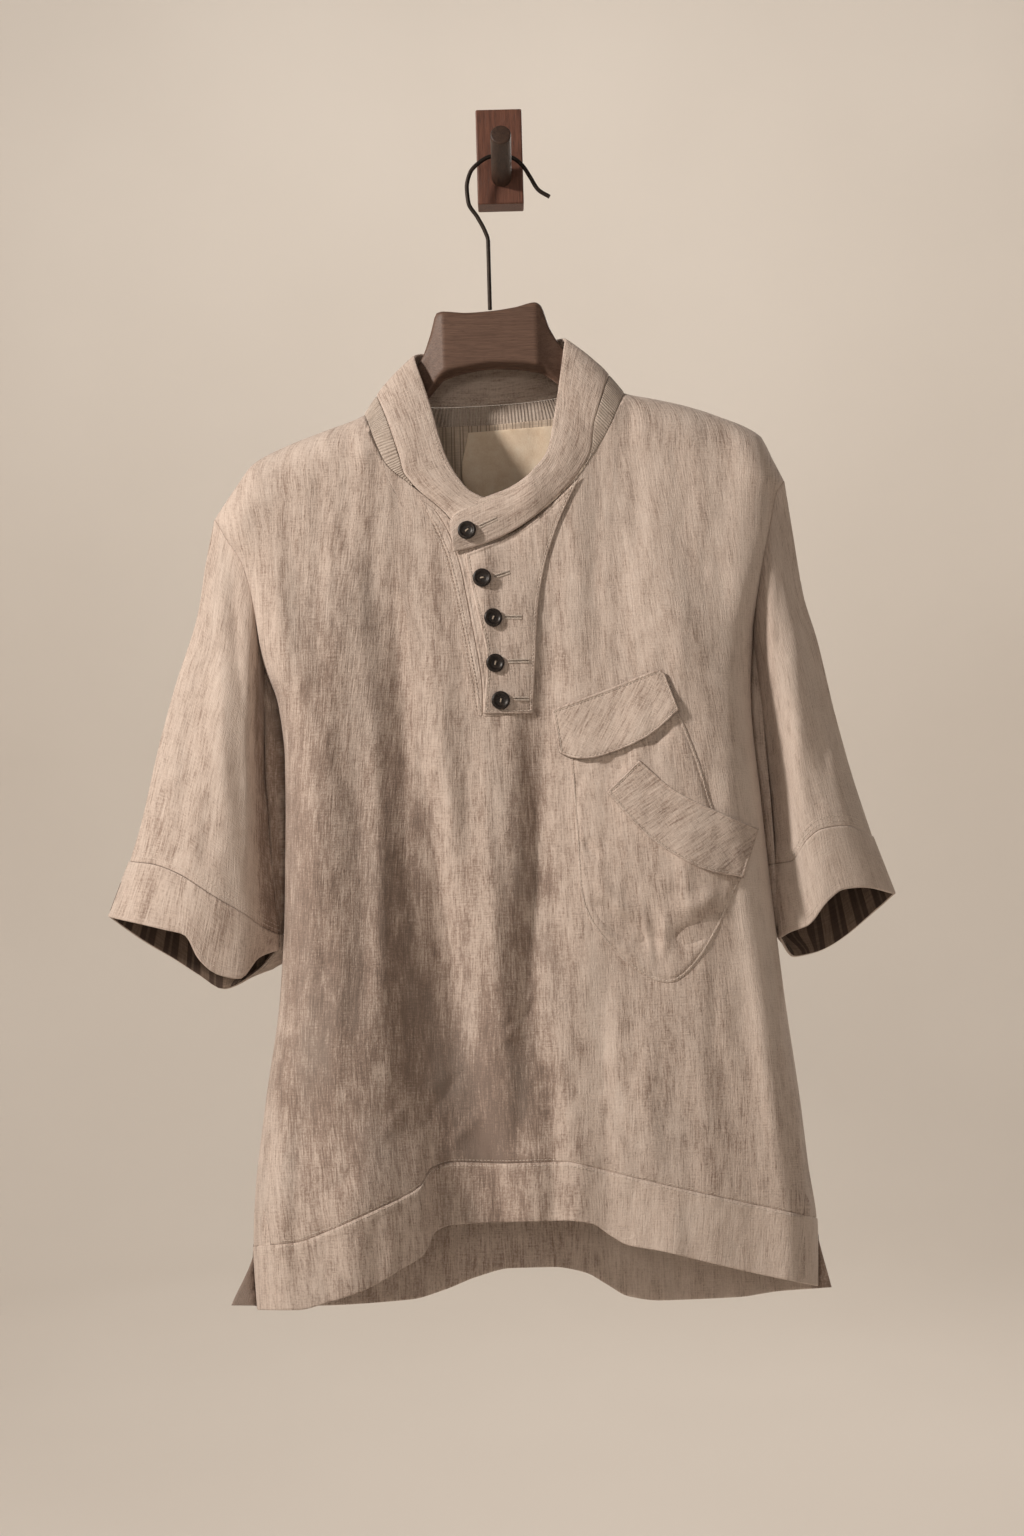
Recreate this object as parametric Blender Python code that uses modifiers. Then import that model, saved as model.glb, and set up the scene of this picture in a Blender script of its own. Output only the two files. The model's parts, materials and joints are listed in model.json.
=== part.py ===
"""A woven pullover shirt with a band collar, a curved placket and a flapped chest pocket, on a
wooden hanger that hangs from a peg in a wall block.

Frame: metres, +Z up, +X to the wearer's left as seen from the front, -Y towards the viewer. The
origin is the centre of the wall block's back face, which lies on the wall, y = 0.

The cloth's outlines are drawn as they look from a viewpoint in front of the shirt: u is
millimetres to the right and v is millimetres up, both in the plane y = DRAWN_AT. `place` carries
a drawn point along its line of sight to its own depth y, in millimetres too.
"""

import math
from collections import namedtuple

import bmesh
import bpy
import numpy as np
from mathutils import Matrix, Vector
from mathutils.bvhtree import BVHTree

MM = 0.001

# Driving sizes, in millimetres.
VIEWPOINT = np.array((-3.0, -1606.0, -504.0))
DRAWN_AT = -70.0
CLOTH = 1.2  # thickness of a cloth wall
SEAM_GAP = 0.3  # between two pieces that meet
LAYER = CLOTH + SEAM_GAP  # from one lying layer of cloth to the next
BLOCK_SIZE = (38.0, 24.0, 78.0)
PEG_RADIUS, PEG_LENGTH, PEG_TILT = 8.2, 66.0, math.radians(12)
PEG_INSIDE = 6.0  # how much longer the peg's rod is made, for the cut along the block's face
EDGE_ROUNDING = 1.2  # of the block's and the peg's edges
WIRE_RADIUS = 1.7
WIRE_POINTS = 44  # along the hook
HANG_DEPTH = -38.0  # y of the hook and of the middle of the hanger's head
ARM_DEPTH = -44.0  # y of the ridge of the shoulders, over the hanger's arms
SIDE_DEPTH = -45.0  # y of the side seams and of the underarms
BACK_DEPTH = -14.0  # y of the back panel's middle
ROLL = 26.0  # how far in from a side seam the cloth rolls round
SHOULDER_ROLL = 34.0  # how far down from the shoulder line it rolls round

# ---------------------------------------------------------------------------------------------
# The drawn outlines. Each row is (u, v) in millimetres unless its heading says otherwise.
# ---------------------------------------------------------------------------------------------

SHOULDER_POINT = {"left": (-235, -299), "right": (220, -280)}
UNDERARM = {"left": (-199, -415), "right": (192, -397)}

# The shoulder line, on each side of the neck.
LEFT_SHOULDER = ((-235, -299), (-218, -275), (-203, -256), (-175, -242), (-145, -231), (-113, -219))
RIGHT_SHOULDER = ((94, -207), (116, -212), (141, -218), (170, -228), (202, -244), (211, -262), (220, -280))
# The line on across the collar's top, from which the cloth at the neck rolls down.
RIDGE = ((-74, -178), (48, -162))
# The neck seams between the two shoulder lines' ends.
FRONT_NECK = (
    (-113, -219), (-106, -240), (-97, -259), (-81, -273), (-54, -296), (-40, -311), (-22, -320),
    (1, -316), (21, -303), (41, -286), (64, -262), (78, -241), (90, -217), (94, -207),
)
BACK_NECK = ((-113, -219), (-95, -227), (-54, -232), (-10, -231), (34, -228), (78, -218), (94, -207))

# Side outlines, (v, u): the armhole seam, then the body's side, then the front edge of the vent.
LEFT_SIDE = (
    (-299, -235), (-317, -225), (-333, -215), (-363, -207), (-412, -200), (-450, -188), (-493, -184),
    (-605, -187), (-685, -193), (-764, -206), (-844, -217), (-881, -219), (-934, -217),
)
RIGHT_SIDE = (
    (-280, 220), (-289, 214), (-310, 209), (-352, 200), (-401, 192), (-455, 189), (-535, 195),
    (-615, 202), (-695, 210), (-776, 220), (-826, 225), (-878, 231), (-926, 230),
)
# The back panel's corners spread outside the front's below the vents, (v, u).
LEFT_VENT_BACK = ((-880, -219), (-928, -239))
RIGHT_VENT_BACK = ((-876, 231), (-926, 242))

FRONT_HEM_SEAM = (
    (-219, -881), (-186, -879), (-156, -869), (-120, -854), (-98, -844), (-86, -837), (-76, -822),
    (-60, -818), (-12, -820), (30, -820), (56, -826), (116, -842), (185, -859), (231, -870),
)
FRONT_EDGE = (
    (-219, -932), (-185, -933), (-166, -929), (-131, -918), (-103, -903), (-84, -891), (-74, -873),
    (-58, -868), (-22, -867), (28, -867), (51, -870), (66, -880), (80, -888), (104, -893),
    (149, -905), (184, -914), (231, -925),
)
BACK_EDGE = (
    (-239, -928), (-166, -930), (-95, -927), (-68, -920), (-41, -910), (-14, -904), (19, -904),
    (45, -909), (62, -919), (79, -929), (105, -933), (166, -932), (200, -928), (242, -926),
)
BACK_HEM_HEIGHT = 50.0

# The front's depth on its middle, (v, y).
FRONT_DEPTHS = ((-935, -92), (-800, -95), (-600, -94), (-450, -88), (-330, -78), (-250, -70), (-160, -66))

# The largest folds, drawn from top to bottom. rise is towards the viewer, left and right are how
# far the fold reaches to each side of its line.
Fold = namedtuple("Fold", "top_u top_v low_u low_v rise left right")
FRONT_FOLDS = (
    Fold(-128, -470, -150, -1250, 17, 62, 44),
    Fold(-62, -430, -44, -1300, -11, 40, 34),
    Fold(-16, -465, -2, -960, 7, 26, 26),
    Fold(30, -360, 4, -860, -9, 22, 30),
    Fold(110, -640, 168, -1400, 8, 70, 60),
    Fold(-150, -300, -172, -640, 6, 40, 34),
    Fold(120, -300, 150, -660, 6, 50, 34),
)
BACK_FOLDS = (
    Fold(-110, -420, -140, -1300, 6, 60, 50),
    Fold(-20, -380, -12, -1300, 4, 50, 50),
    Fold(95, -440, 130, -1300, 6, 60, 60),
)
# The left part of the hem stands in front of the rest: (u of the step, width, v where it starts,
# v where it is full, rise).
HEM_STEP = (-80.0, 16.0, -770.0, -868.0, 14.0)


def through(rows, at):
    """The value at a place on a smooth curve through (place, value) rows, with no overshoot."""
    place_of, value_of = np.array(sorted(rows), float).T
    step = np.diff(place_of)
    slope = np.diff(value_of) / step
    before, after = slope[:-1], slope[1:]
    tangent = np.concatenate(([slope[0]], np.zeros(len(slope) - 1), [slope[-1]]))
    agree = before * after > 0
    tangent[1:-1][agree] = 2 * before[agree] * after[agree] / (before[agree] + after[agree])
    at = np.clip(np.asarray(at, float), place_of[0], place_of[-1])
    i = np.clip(np.searchsorted(place_of, at) - 1, 0, len(step) - 1)
    q = (at - place_of[i]) / step[i]
    h = step[i]
    return (
        value_of[i] * (1 + 2 * q) * (1 - q) ** 2
        + h * tangent[i] * q * (1 - q) ** 2
        + value_of[i + 1] * q * q * (3 - 2 * q)
        + h * tangent[i + 1] * q * q * (q - 1)
    )


def ramp(q):
    """0 up to q = 0, 1 from q = 1, and a soft rise between."""
    q = np.clip(q, 0, 1)
    return q * q * (3 - 2 * q)


def rounding(q):
    """A quarter circle's rise: 0 at q = 0, where it is steep, and 1 from q = 1."""
    return np.sqrt(1 - (1 - np.clip(q, 0, 1)) ** 2)


def place(u, v, y):
    """The world point, in metres, that is drawn at (u, v) and lies at depth y."""
    nearness = (y - VIEWPOINT[1]) / (DRAWN_AT - VIEWPOINT[1])
    x = VIEWPOINT[0] + (u - VIEWPOINT[0]) * nearness
    z = VIEWPOINT[2] + (v - VIEWPOINT[2]) * nearness
    return np.stack(np.broadcast_arrays(x, y, z), -1) * MM


def folds(table, u, v):
    """How far a table's folds lift the cloth at (u, v)."""
    total = 0.0
    for fold in table:
        down = (v - fold.top_v) / (fold.low_v - fold.top_v)
        off = u - (fold.top_u + (fold.low_u - fold.top_u) * down)
        across = off / np.where(off < 0, fold.left, fold.right)
        total = total + fold.rise * ramp(down / 0.35) * ramp((1 - down) / 0.2) * np.exp(-(across**2))
    return total


def hem_step(u, v):
    step_u, width, start_v, full_v, rise = HEM_STEP
    return rise * ramp((step_u + width / 2 - u) / width) * ramp((v - start_v) / (full_v - start_v))


def armhole_bulge(side, v):
    """How far the armhole seam stands away from SIDE_DEPTH, to the front and to the back."""
    top, bottom = SHOULDER_POINT[side][1], UNDERARM[side][1]
    down = np.clip((v - top) / (bottom - top), 0, 1)
    return 17.0 * np.sin(math.pi * down) ** 0.8


def shoulder_line(u):
    return through(LEFT_SHOULDER + RIDGE + RIGHT_SHOULDER, u)


def top_edge(neck, u):
    """v of a panel's top: the shoulder line and, between its two ends, the neck seam."""
    in_neck = (u > neck[0][0]) & (u < neck[-1][0])
    return np.where(in_neck, through(neck, u), shoulder_line(u))


def edge_rise(u, v):
    """How much of its full depth the cloth has near its side seams and its shoulder line."""
    left = rounding((u - through(LEFT_SIDE, v)) / ROLL)
    right = rounding((through(RIGHT_SIDE, v) - u) / ROLL)
    return left * right * rounding((shoulder_line(u) - v) / SHOULDER_ROLL)


def seam_depth(u, v, towards):
    """The depth of the side seam, armhole and shoulder line nearest to (u, v)."""
    bulge = np.where(u < 0, armhole_bulge("left", v), armhole_bulge("right", v))
    below_shoulders = ramp((-250 - v) / 80)
    ridge = ARM_DEPTH + (SIDE_DEPTH - ARM_DEPTH) * below_shoulders
    near_side = ramp((np.abs(u) - 120) / 60)
    return ridge + towards * bulge * near_side


def front_depth(u, v):
    full = through(FRONT_DEPTHS, v) - folds(FRONT_FOLDS, u, v) - hem_step(u, v)
    seam = seam_depth(u, v, -1)
    return seam + (full - seam) * edge_rise(u, v)


def back_depth(u, v):
    full = BACK_DEPTH - folds(BACK_FOLDS, u, v)
    seam = seam_depth(u, v, 1)
    return seam + (full - seam) * edge_rise(u, v)


# ---------------------------------------------------------------------------------------------
# Helpers that make objects.
# ---------------------------------------------------------------------------------------------

for old in list(bpy.data.objects):
    bpy.data.objects.remove(old)

SHIRT = bpy.data.collections.new("pullover_shirt")
CUTTERS = bpy.data.collections.new("cutters")
for group in (SHIRT, CUTTERS):
    bpy.context.scene.collection.children.link(group)

# name: (red, green, blue, roughness, metallic)
FINISHES = {
    "linen": (0.50, 0.42, 0.35, 0.92, 0.0),
    "ribbed_linen": (0.50, 0.42, 0.35, 0.92, 0.0),
    "striped_facing": (0.22, 0.17, 0.13, 0.9, 0.0),
    "label_cloth": (0.55, 0.44, 0.31, 0.85, 0.0),
    "horn": (0.045, 0.03, 0.022, 0.35, 0.0),
    "walnut": (0.13, 0.07, 0.045, 0.45, 0.0),
    "block_wood": (0.16, 0.06, 0.035, 0.5, 0.0),
    "peg_wood": (0.14, 0.09, 0.065, 0.55, 0.0),
    "bronze_wire": (0.05, 0.045, 0.04, 0.4, 0.9),
}


def finish(name):
    """The material of that name, made at its first use."""
    found = bpy.data.materials.get(name)
    if found:
        return found
    red, green, blue, roughness, metallic = FINISHES[name]
    made = bpy.data.materials.new(name)
    made.use_nodes = True
    shader = made.node_tree.nodes["Principled BSDF"]
    shader.inputs["Base Color"].default_value = (red, green, blue, 1)
    shader.inputs["Roughness"].default_value = roughness
    shader.inputs["Metallic"].default_value = metallic
    return made


def link(name, data, material):
    obj = bpy.data.objects.new(name, data)
    data.materials.append(finish(material))
    SHIRT.objects.link(obj)
    return obj


def sheet(name, points, material="linen", closed=False):
    """An open surface through a grid of points, rows first. closed joins each row's two ends."""
    rows, columns = points.shape[:2]
    bm = bmesh.new()
    verts = [[bm.verts.new(point) for point in row] for row in points]
    for i in range(rows - 1):
        for j in range(columns if closed else columns - 1):
            k = (j + 1) % columns
            bm.faces.new((verts[i][j], verts[i][k], verts[i + 1][k]))
            bm.faces.new((verts[i][j], verts[i + 1][k], verts[i + 1][j]))
    mesh = bpy.data.meshes.new(name)
    bm.to_mesh(mesh)
    bm.free()
    mesh.shade_smooth()
    return link(name, mesh, material)


def thicken(obj, layer=0):
    """Gives a sheet its cloth's thickness. Layer 0 is centred on it, and each next one lies on it."""
    solidify = obj.modifiers.new("cloth", "SOLIDIFY")
    solidify.thickness = CLOTH * MM
    solidify.offset = 2 * layer * LAYER / CLOTH
    solidify.use_even_offset = False
    return obj


def trace(rows, steps=3):
    """A closed outline through (u, v, kind) rows: smooth at a "round" one, broken at a "corner"."""
    outline = []
    for i in range(len(rows)):
        previous, start, end, following = (rows[(i + k) % len(rows)] for k in (-1, 0, 1, 2))
        a, b = np.array(start[:2], float), np.array(end[:2], float)
        straight = b - a
        leave = straight if start[2] == "corner" else (b - np.array(previous[:2])) / 2
        arrive = straight if end[2] == "corner" else (np.array(following[:2]) - a) / 2
        pieces = 1 if start[2] == end[2] == "corner" else steps
        for q in np.arange(pieces) / pieces:
            outline.append(
                a * (1 + 2 * q) * (1 - q) ** 2 + leave * q * (1 - q) ** 2
                + b * q * q * (3 - 2 * q) + arrive * q * q * (q - 1)
            )
    return np.array(outline)


def outline_cutter(name, outline, near=-160.0, far=-2.0):
    """A prism along the lines of sight, whose drawn outline is the given one."""
    bm = bmesh.new()
    rings = [[bm.verts.new(place(u, v, y)) for u, v in outline] for y in (near, far)]
    bm.faces.new(rings[0])
    bm.faces.new(reversed(rings[1]))
    for i in range(len(outline)):
        k = (i + 1) % len(outline)
        bm.faces.new((rings[0][k], rings[0][i], rings[1][i], rings[1][k]))
    bmesh.ops.recalc_face_normals(bm, faces=bm.faces)
    mesh = bpy.data.meshes.new(name)
    bm.to_mesh(mesh)
    bm.free()
    cutter = bpy.data.objects.new(name, mesh)
    CUTTERS.objects.link(cutter)
    cutter.hide_render = True
    cutter.display_type = "WIRE"
    return cutter


def lying_piece(name, form, outline, layer, material="linen"):
    """Cloth that lies on a form: the form's own points moved out, inside a drawn outline."""
    obj = link(name, form.data.copy(), material)
    obj.data.materials.clear()
    obj.data.materials.append(finish(material))
    thicken(obj, layer)
    cut = obj.modifiers.new("outline", "BOOLEAN")
    cut.operation = "INTERSECT"
    cut.object = outline_cutter(name + "_outline", outline)
    return obj


def on_front(obj, u, v):
    """The first point of an object on the line of sight through (u, v), and its normal."""
    bpy.context.view_layer.update()
    tree = BVHTree.FromObject(obj, bpy.context.evaluated_depsgraph_get())
    eye = Vector(VIEWPOINT * MM)
    point, normal, _, _ = tree.ray_cast(eye, (Vector(place(u, v, DRAWN_AT)) - eye).normalized())
    return point, normal


# ---------------------------------------------------------------------------------------------
# Front and back.
# ---------------------------------------------------------------------------------------------

ROLL_STEPS = 3
SHOULDER_STEPS = 4
HEM_ROWS = 2
# How far up each row lies from the hem seam to the shoulder's roll, with the underarm on one.
BODY_ROWS = (0.12, 0.24, 0.36, 0.48, 0.6, 0.71, 0.79, 0.85, 0.88, 0.91, 0.94, 0.97, 1.0)
UNDERARM_ROW = BODY_ROWS.index(0.85) + 1
BUTT = SEAM_GAP / 2  # drawn back where two pieces run on in one surface
FOLDED = BUTT + 0.45  # drawn back where they meet at an angle
STEEP = 1.0  # drawn back where they meet at a sharp angle
# u of the columns between the two rolls, at the panels' tops. They are close at the neck's corners.
TOP_COLUMNS = (
    -185, -160, -136, -113, -108, -100, -86, -66, -40, -10, 20, 46, 66, 80, 88, 94, 114, 138, 162,
)


def roll_places(steps, width):
    """Distances from an edge where the cloth rolls round, evenly spaced round the roll."""
    return width * (1 - np.cos(np.linspace(0, math.pi / 2, steps + 1)))


def columns(left, right, middle):
    """Places from the left to the right edge: close together where the cloth rolls round, and
    between the rolls at the given fractions."""
    roll = roll_places(ROLL_STEPS, ROLL)
    between = left + ROLL + (right - left - 2 * ROLL) * middle
    return np.concatenate((left + roll, between, (right - roll)[::-1]))


def panel(neck, seam, edge, sides, depth):
    """A panel's form, as points: hem rows from its edge up to the hem seam, then up to its top."""
    left_side, right_side = sides
    left_end, right_end = LEFT_SHOULDER[0][0], RIGHT_SHOULDER[-1][0]
    first, last = left_end + ROLL, right_end - ROLL
    middle = (np.array(TOP_COLUMNS, float) - first) / (last - first)
    at_top = columns(left_end, right_end, middle)
    at_seam = columns(through(left_side, seam[0][1]), through(right_side, seam[-1][1]), middle)
    at_edge = columns(through(left_side, edge[0][1]), through(right_side, edge[-1][1]), middle)
    edge_v, seam_v, top_v = through(edge, at_edge), through(seam, at_seam), top_edge(neck, at_top)
    rows = [edge_v + (seam_v - edge_v) * t for t in np.linspace(0, 1, HEM_ROWS + 1)]
    below_roll = top_v - SHOULDER_ROLL
    rows += [seam_v + (below_roll - seam_v) * t for t in BODY_ROWS]
    rows += [top_v - d for d in roll_places(SHOULDER_STEPS, SHOULDER_ROLL)[::-1][1:]]
    v = np.array(rows)
    u = np.array([columns(through(left_side, row[0]), through(right_side, row[-1]), middle) for row in v])
    return u, v, depth(u, v)


def drawn_back(points, low=0.0, high=0.0, sides=0.0):
    """A grid whose first row, last row and two side columns are drawn back along the cloth."""
    points = points.copy()
    for grid, amounts in ((points, (low, high)), (points.swapaxes(0, 1), (sides, sides))):
        for row, inner, amount in ((0, 1, amounts[0]), (-1, -2, amounts[1])):
            inwards = grid[inner] - grid[row]
            length = np.linalg.norm(inwards, axis=-1, keepdims=True)
            grid[row] += inwards / length * np.minimum(np.asarray(amount) * MM, length / 2)
    return points


front_drawn = panel(FRONT_NECK, FRONT_HEM_SEAM, FRONT_EDGE, (LEFT_SIDE, RIGHT_SIDE), front_depth)
back_drawn = panel(
    BACK_NECK, tuple((u, v + BACK_HEM_HEIGHT) for u, v in BACK_EDGE), BACK_EDGE,
    (LEFT_SIDE[:-1] + LEFT_VENT_BACK[1:], RIGHT_SIDE[:-1] + RIGHT_VENT_BACK[1:]), back_depth,
)
front_points = place(*front_drawn)
back_points = place(*back_drawn)[:, ::-1]

thicken(sheet("front", drawn_back(front_points[HEM_ROWS:], BUTT, FOLDED, FOLDED)))
thicken(sheet("hem_front", drawn_back(front_points[: HEM_ROWS + 1], 0, BUTT, FOLDED)))
thicken(sheet("back", drawn_back(back_points[HEM_ROWS:], BUTT, FOLDED, FOLDED)))
thicken(sheet("hem_back", drawn_back(back_points[: HEM_ROWS + 1], 0, BUTT, FOLDED)))

# What lies on a panel is cut from its whole form.
front_form = sheet("front_form", front_points)
back_form = sheet("back_form", back_points)


# ---------------------------------------------------------------------------------------------
# Pieces that lie on the panels. Each outline row is (u, v, kind).
# ---------------------------------------------------------------------------------------------

PLACKET_OVER = (
    (58, -272, "corner"), (41, -288, "round"), (21, -305, "round"), (1, -318, "round"),
    (-22, -327, "round"), (-36, -332, "corner"), (-32, -359, "round"), (-26, -386, "round"),
    (-21, -416, "round"), (-25, -460, "corner"), (15, -461, "corner"), (18, -420, "round"),
    (20, -393, "round"), (22, -371, "round"), (27, -345, "round"), (34, -323, "round"),
    (44, -299, "round"),
)
PLACKET_FACING = (
    (-71, -287, "corner"), (-58, -312, "round"), (-48, -339, "round"), (-41, -379, "round"),
    (-31, -430, "round"), (-29, -462, "corner"), (-26, -462, "corner"), (-26, -430, "round"),
    (-34, -379, "round"), (-41, -339, "round"), (-50, -312, "round"), (-60, -295, "corner"),
)
PLACKET_UNDER = (
    (-59, -296, "corner"), (-49, -312, "round"), (-40, -339, "round"), (-33, -379, "round"),
    (-25, -430, "round"), (-25, -462, "corner"), (-8, -462, "corner"), (-8, -420, "round"),
    (-14, -379, "round"), (-22, -350, "round"), (-26, -332, "round"), (-35, -316, "corner"),
    (-46, -305, "round"),
)
POCKET_BAG = (
    (42, -472, "corner"), (44, -498, "round"), (47, -563, "round"), (51, -616, "round"),
    (74, -652, "round"), (101, -674, "round"), (124, -678, "round"), (147, -656, "round"),
    (165, -623, "round"), (178, -597, "corner"), (172, -570, "corner"), (158, -542, "round"),
    (147, -503, "round"), (132, -464, "round"), (120, -446, "corner"),
)
UPPER_FLAP = (
    (30, -458, "corner"), (69, -445, "round"), (115, -428, "corner"), (121, -431, "corner"),
    (132, -461, "corner"), (106, -482, "round"), (71, -496, "round"), (49, -498, "round"),
    (35, -493, "corner"),
)
LOWER_FLAP = (
    (99, -500, "corner"), (127, -525, "round"), (159, -542, "round"), (193, -558, "corner"),
    (180, -597, "corner"), (145, -588, "round"), (104, -562, "round"), (72, -525, "corner"),
)
VENT_STRIPS = {
    "left": (
        (-212, -848, "corner"), (-208, -862, "round"), (-206, -880, "round"), (-202, -932, "corner"),
        (-215, -930, "corner"), (-216, -862, "corner"),
    ),
    "right": (
        (223, -850, "corner"), (221, -868, "round"), (217, -895, "round"), (214, -921, "corner"),
        (228, -921, "corner"), (228, -862, "corner"),
    ),
}
BACK_YOKE = (
    (-92, -236, "corner"), (-54, -234, "round"), (-10, -233, "round"), (34, -230, "round"),
    (76, -229, "corner"), (82, -290, "round"), (50, -322, "round"), (-8, -332, "round"),
    (-66, -322, "round"), (-98, -290, "round"),
)
NECK_LABEL = (
    (-30, -239, "corner"), (42, -235, "corner"), (42, -300, "corner"), (-22, -304, "corner"),
    (-37, -270, "round"),
)

lying_piece("placket_over", front_form, trace(PLACKET_OVER), 2)
lying_piece("placket_facing", front_form, trace(PLACKET_FACING), 1)
lying_piece("placket_under", front_form, trace(PLACKET_UNDER), 1)
lying_piece("pocket_bag", front_form, trace(POCKET_BAG), 1)
lying_piece("pocket_flap_upper", front_form, trace(UPPER_FLAP), 2)
lying_piece("pocket_flap_lower", front_form, trace(LOWER_FLAP), 2)
for side, outline in VENT_STRIPS.items():
    lying_piece("vent_strip_" + side, front_form, trace(outline), 1)
lying_piece("back_yoke", back_form, trace(BACK_YOKE), -1, "striped_facing")
lying_piece("neck_label", back_form, trace(NECK_LABEL), -2, "label_cloth")


# ---------------------------------------------------------------------------------------------
# Sleeves, cuffs and their facings: rings that are drawn as a front and a rear curve.
# ---------------------------------------------------------------------------------------------

Sleeve = namedtuple("Sleeve", "outer inner seam_front seam_rear edge_front edge_rear")
SLEEVES = {
    "left": Sleeve(
        outer=(
            (-235, -299), (-243, -335), (-250, -373), (-271, -435), (-285, -482), (-301, -544),
            (-310, -571),
        ),
        inner=((-200, -412), (-200, -444), (-200, -498), (-198, -539), (-197, -580), (-194, -632)),
        seam_front=(
            (-310, -571), (-294, -573), (-275, -580), (-243, -601), (-222, -614), (-204, -627),
            (-194, -632),
        ),
        seam_rear=((-310, -571), (-285, -592), (-258, -614), (-230, -628), (-194, -632)),
        edge_front=(
            (-328, -615), (-285, -626), (-268, -631), (-258, -650), (-243, -663), (-226, -667),
            (-209, -650), (-195, -645),
        ),
        edge_rear=(
            (-328, -615), (-301, -635), (-277, -650), (-258, -663), (-238, -675), (-212, -662),
            (-195, -645),
        ),
    ),
    "right": Sleeve(
        outer=(
            (220, -280), (226, -324), (233, -372), (243, -408), (255, -464), (268, -516), (283, -566),
        ),
        inner=((192, -401), (196, -440), (200, -500), (203, -545), (205, -586)),
        seam_front=((283, -566), (261, -557), (244, -559), (232, -567), (219, -584), (205, -586)),
        seam_rear=((283, -566), (262, -578), (240, -590), (220, -594), (205, -586)),
        edge_front=(
            (300, -613), (274, -607), (260, -608), (247, -617), (231, -636), (217, -641), (208, -646),
        ),
        edge_rear=((300, -613), (287, -624), (250, -652), (236, -658), (219, -661), (208, -646)),
    ),
}
SLEEVE_MIDDLE = ((0, -45), (1, -47))  # y along the sleeve, from the armhole to the cuff's seam
SLEEVE_HALF_DEPTH = ((0, 17), (0.35, 25), (1, 30))
SLEEVE_ROWS, CUFF_ROWS = 7, 2
SLEEVE_GAP = 1.5  # from the panels' own seam points to the sleeve's, sideways


def along(rows, fraction):
    """The drawn points at those fractions of the length of a smooth curve through (u, v) rows."""
    rows = np.array(rows, float)
    reach = np.concatenate(([0], np.cumsum(np.linalg.norm(np.diff(rows, axis=0), axis=1))))
    return np.stack([through(list(zip(reach / reach[-1], column)), fraction) for column in rows.T], -1)


def drawn_patch(start, end, outer, inner, across, down):
    """A grid between four drawn curves, each given by its points at those fractions."""
    t, s = down[:, None, None], across[None, :, None]
    outer_bow = outer - (outer[0] + (outer[-1] - outer[0]) * down[:, None])
    inner_bow = inner - (inner[0] + (inner[-1] - inner[0]) * down[:, None])
    return start + (end - start) * t + outer_bow[:, None] * (1 - s) + inner_bow[:, None] * s


def half_tube(start, end, outer, inner, across, down, reach, towards):
    """The front or rear half of a tube as (u, v, y). reach is how far down the sleeve it lies."""
    drawn = drawn_patch(start, end, outer, inner, across, down)
    half = through(SLEEVE_HALF_DEPTH, reach)[:, None]
    depth = through(SLEEVE_MIDDLE, reach)[:, None] + towards * half * np.sin(math.pi * across) ** 0.8
    return np.concatenate((drawn, depth[..., None]), -1)


def ring(front_half, rear_half):
    """Both halves of a tube joined into closed rings, placed."""
    joined = np.concatenate((front_half, rear_half[:, -2:0:-1]), 1)
    return place(joined[..., 0], joined[..., 1], joined[..., 2])


def armhole_points(drawn, side):
    """A panel's own points on the armhole's seam as (u, v, y), from the shoulder to the underarm."""
    column = 0 if side == "left" else -1
    return np.stack([grid[HEM_ROWS + UNDERARM_ROW :, column][::-1] for grid in drawn], -1)


for side, sleeve in SLEEVES.items():
    outwards = (-SLEEVE_GAP, 0, 0) if side == "left" else (SLEEVE_GAP, 0, 0)
    holes = [armhole_points(drawn, side) + outwards for drawn in (front_drawn, back_drawn)]
    across = (holes[0][:, 1] - holes[0][0, 1]) / (holes[0][-1, 1] - holes[0][0, 1])
    down = np.linspace(0, 1, SLEEVE_ROWS + 1)
    outer, inner = along(sleeve.outer, down), along(sleeve.inner, down)
    halves = []
    for hole, seam, towards in zip(holes, (sleeve.seam_front, sleeve.seam_rear), (-1, 1)):
        half = half_tube(hole[:, :2], along(seam, across), outer, inner, across, down, down, towards)
        to_hole = hole[None] - half[:1]
        halves.append(half + to_hole * (1 - down)[:, None, None])
    body = ring(*halves)

    down = np.linspace(0, 1, CUFF_ROWS + 1)
    outer, inner = (
        along((sleeve.seam_front[end], sleeve.edge_front[end]), down) for end in (0, -1)
    )
    cuff = ring(*(
        half_tube(along(seam, across), along(edge, across), outer, inner, across, down, down * 0 + 1, towards)
        for seam, edge, towards in (
            (sleeve.seam_front, sleeve.edge_front, -1), (sleeve.seam_rear, sleeve.edge_rear, 1)
        )
    ))
    if side == "left":
        body, cuff = body[:, ::-1], cuff[:, ::-1]
    thicken(sheet("sleeve_" + side, drawn_back(body, STEEP, BUTT), closed=True))
    thicken(sheet("cuff_" + side, drawn_back(cuff, BUTT), closed=True))
    facing = sheet("cuff_facing_" + side, drawn_back(cuff, 1.5, 0.6), "striped_facing", closed=True)
    thicken(facing, -1)


# ---------------------------------------------------------------------------------------------
# The collar: a folded band over a narrow stand. It starts from the panels' own neck points.
# ---------------------------------------------------------------------------------------------

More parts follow.
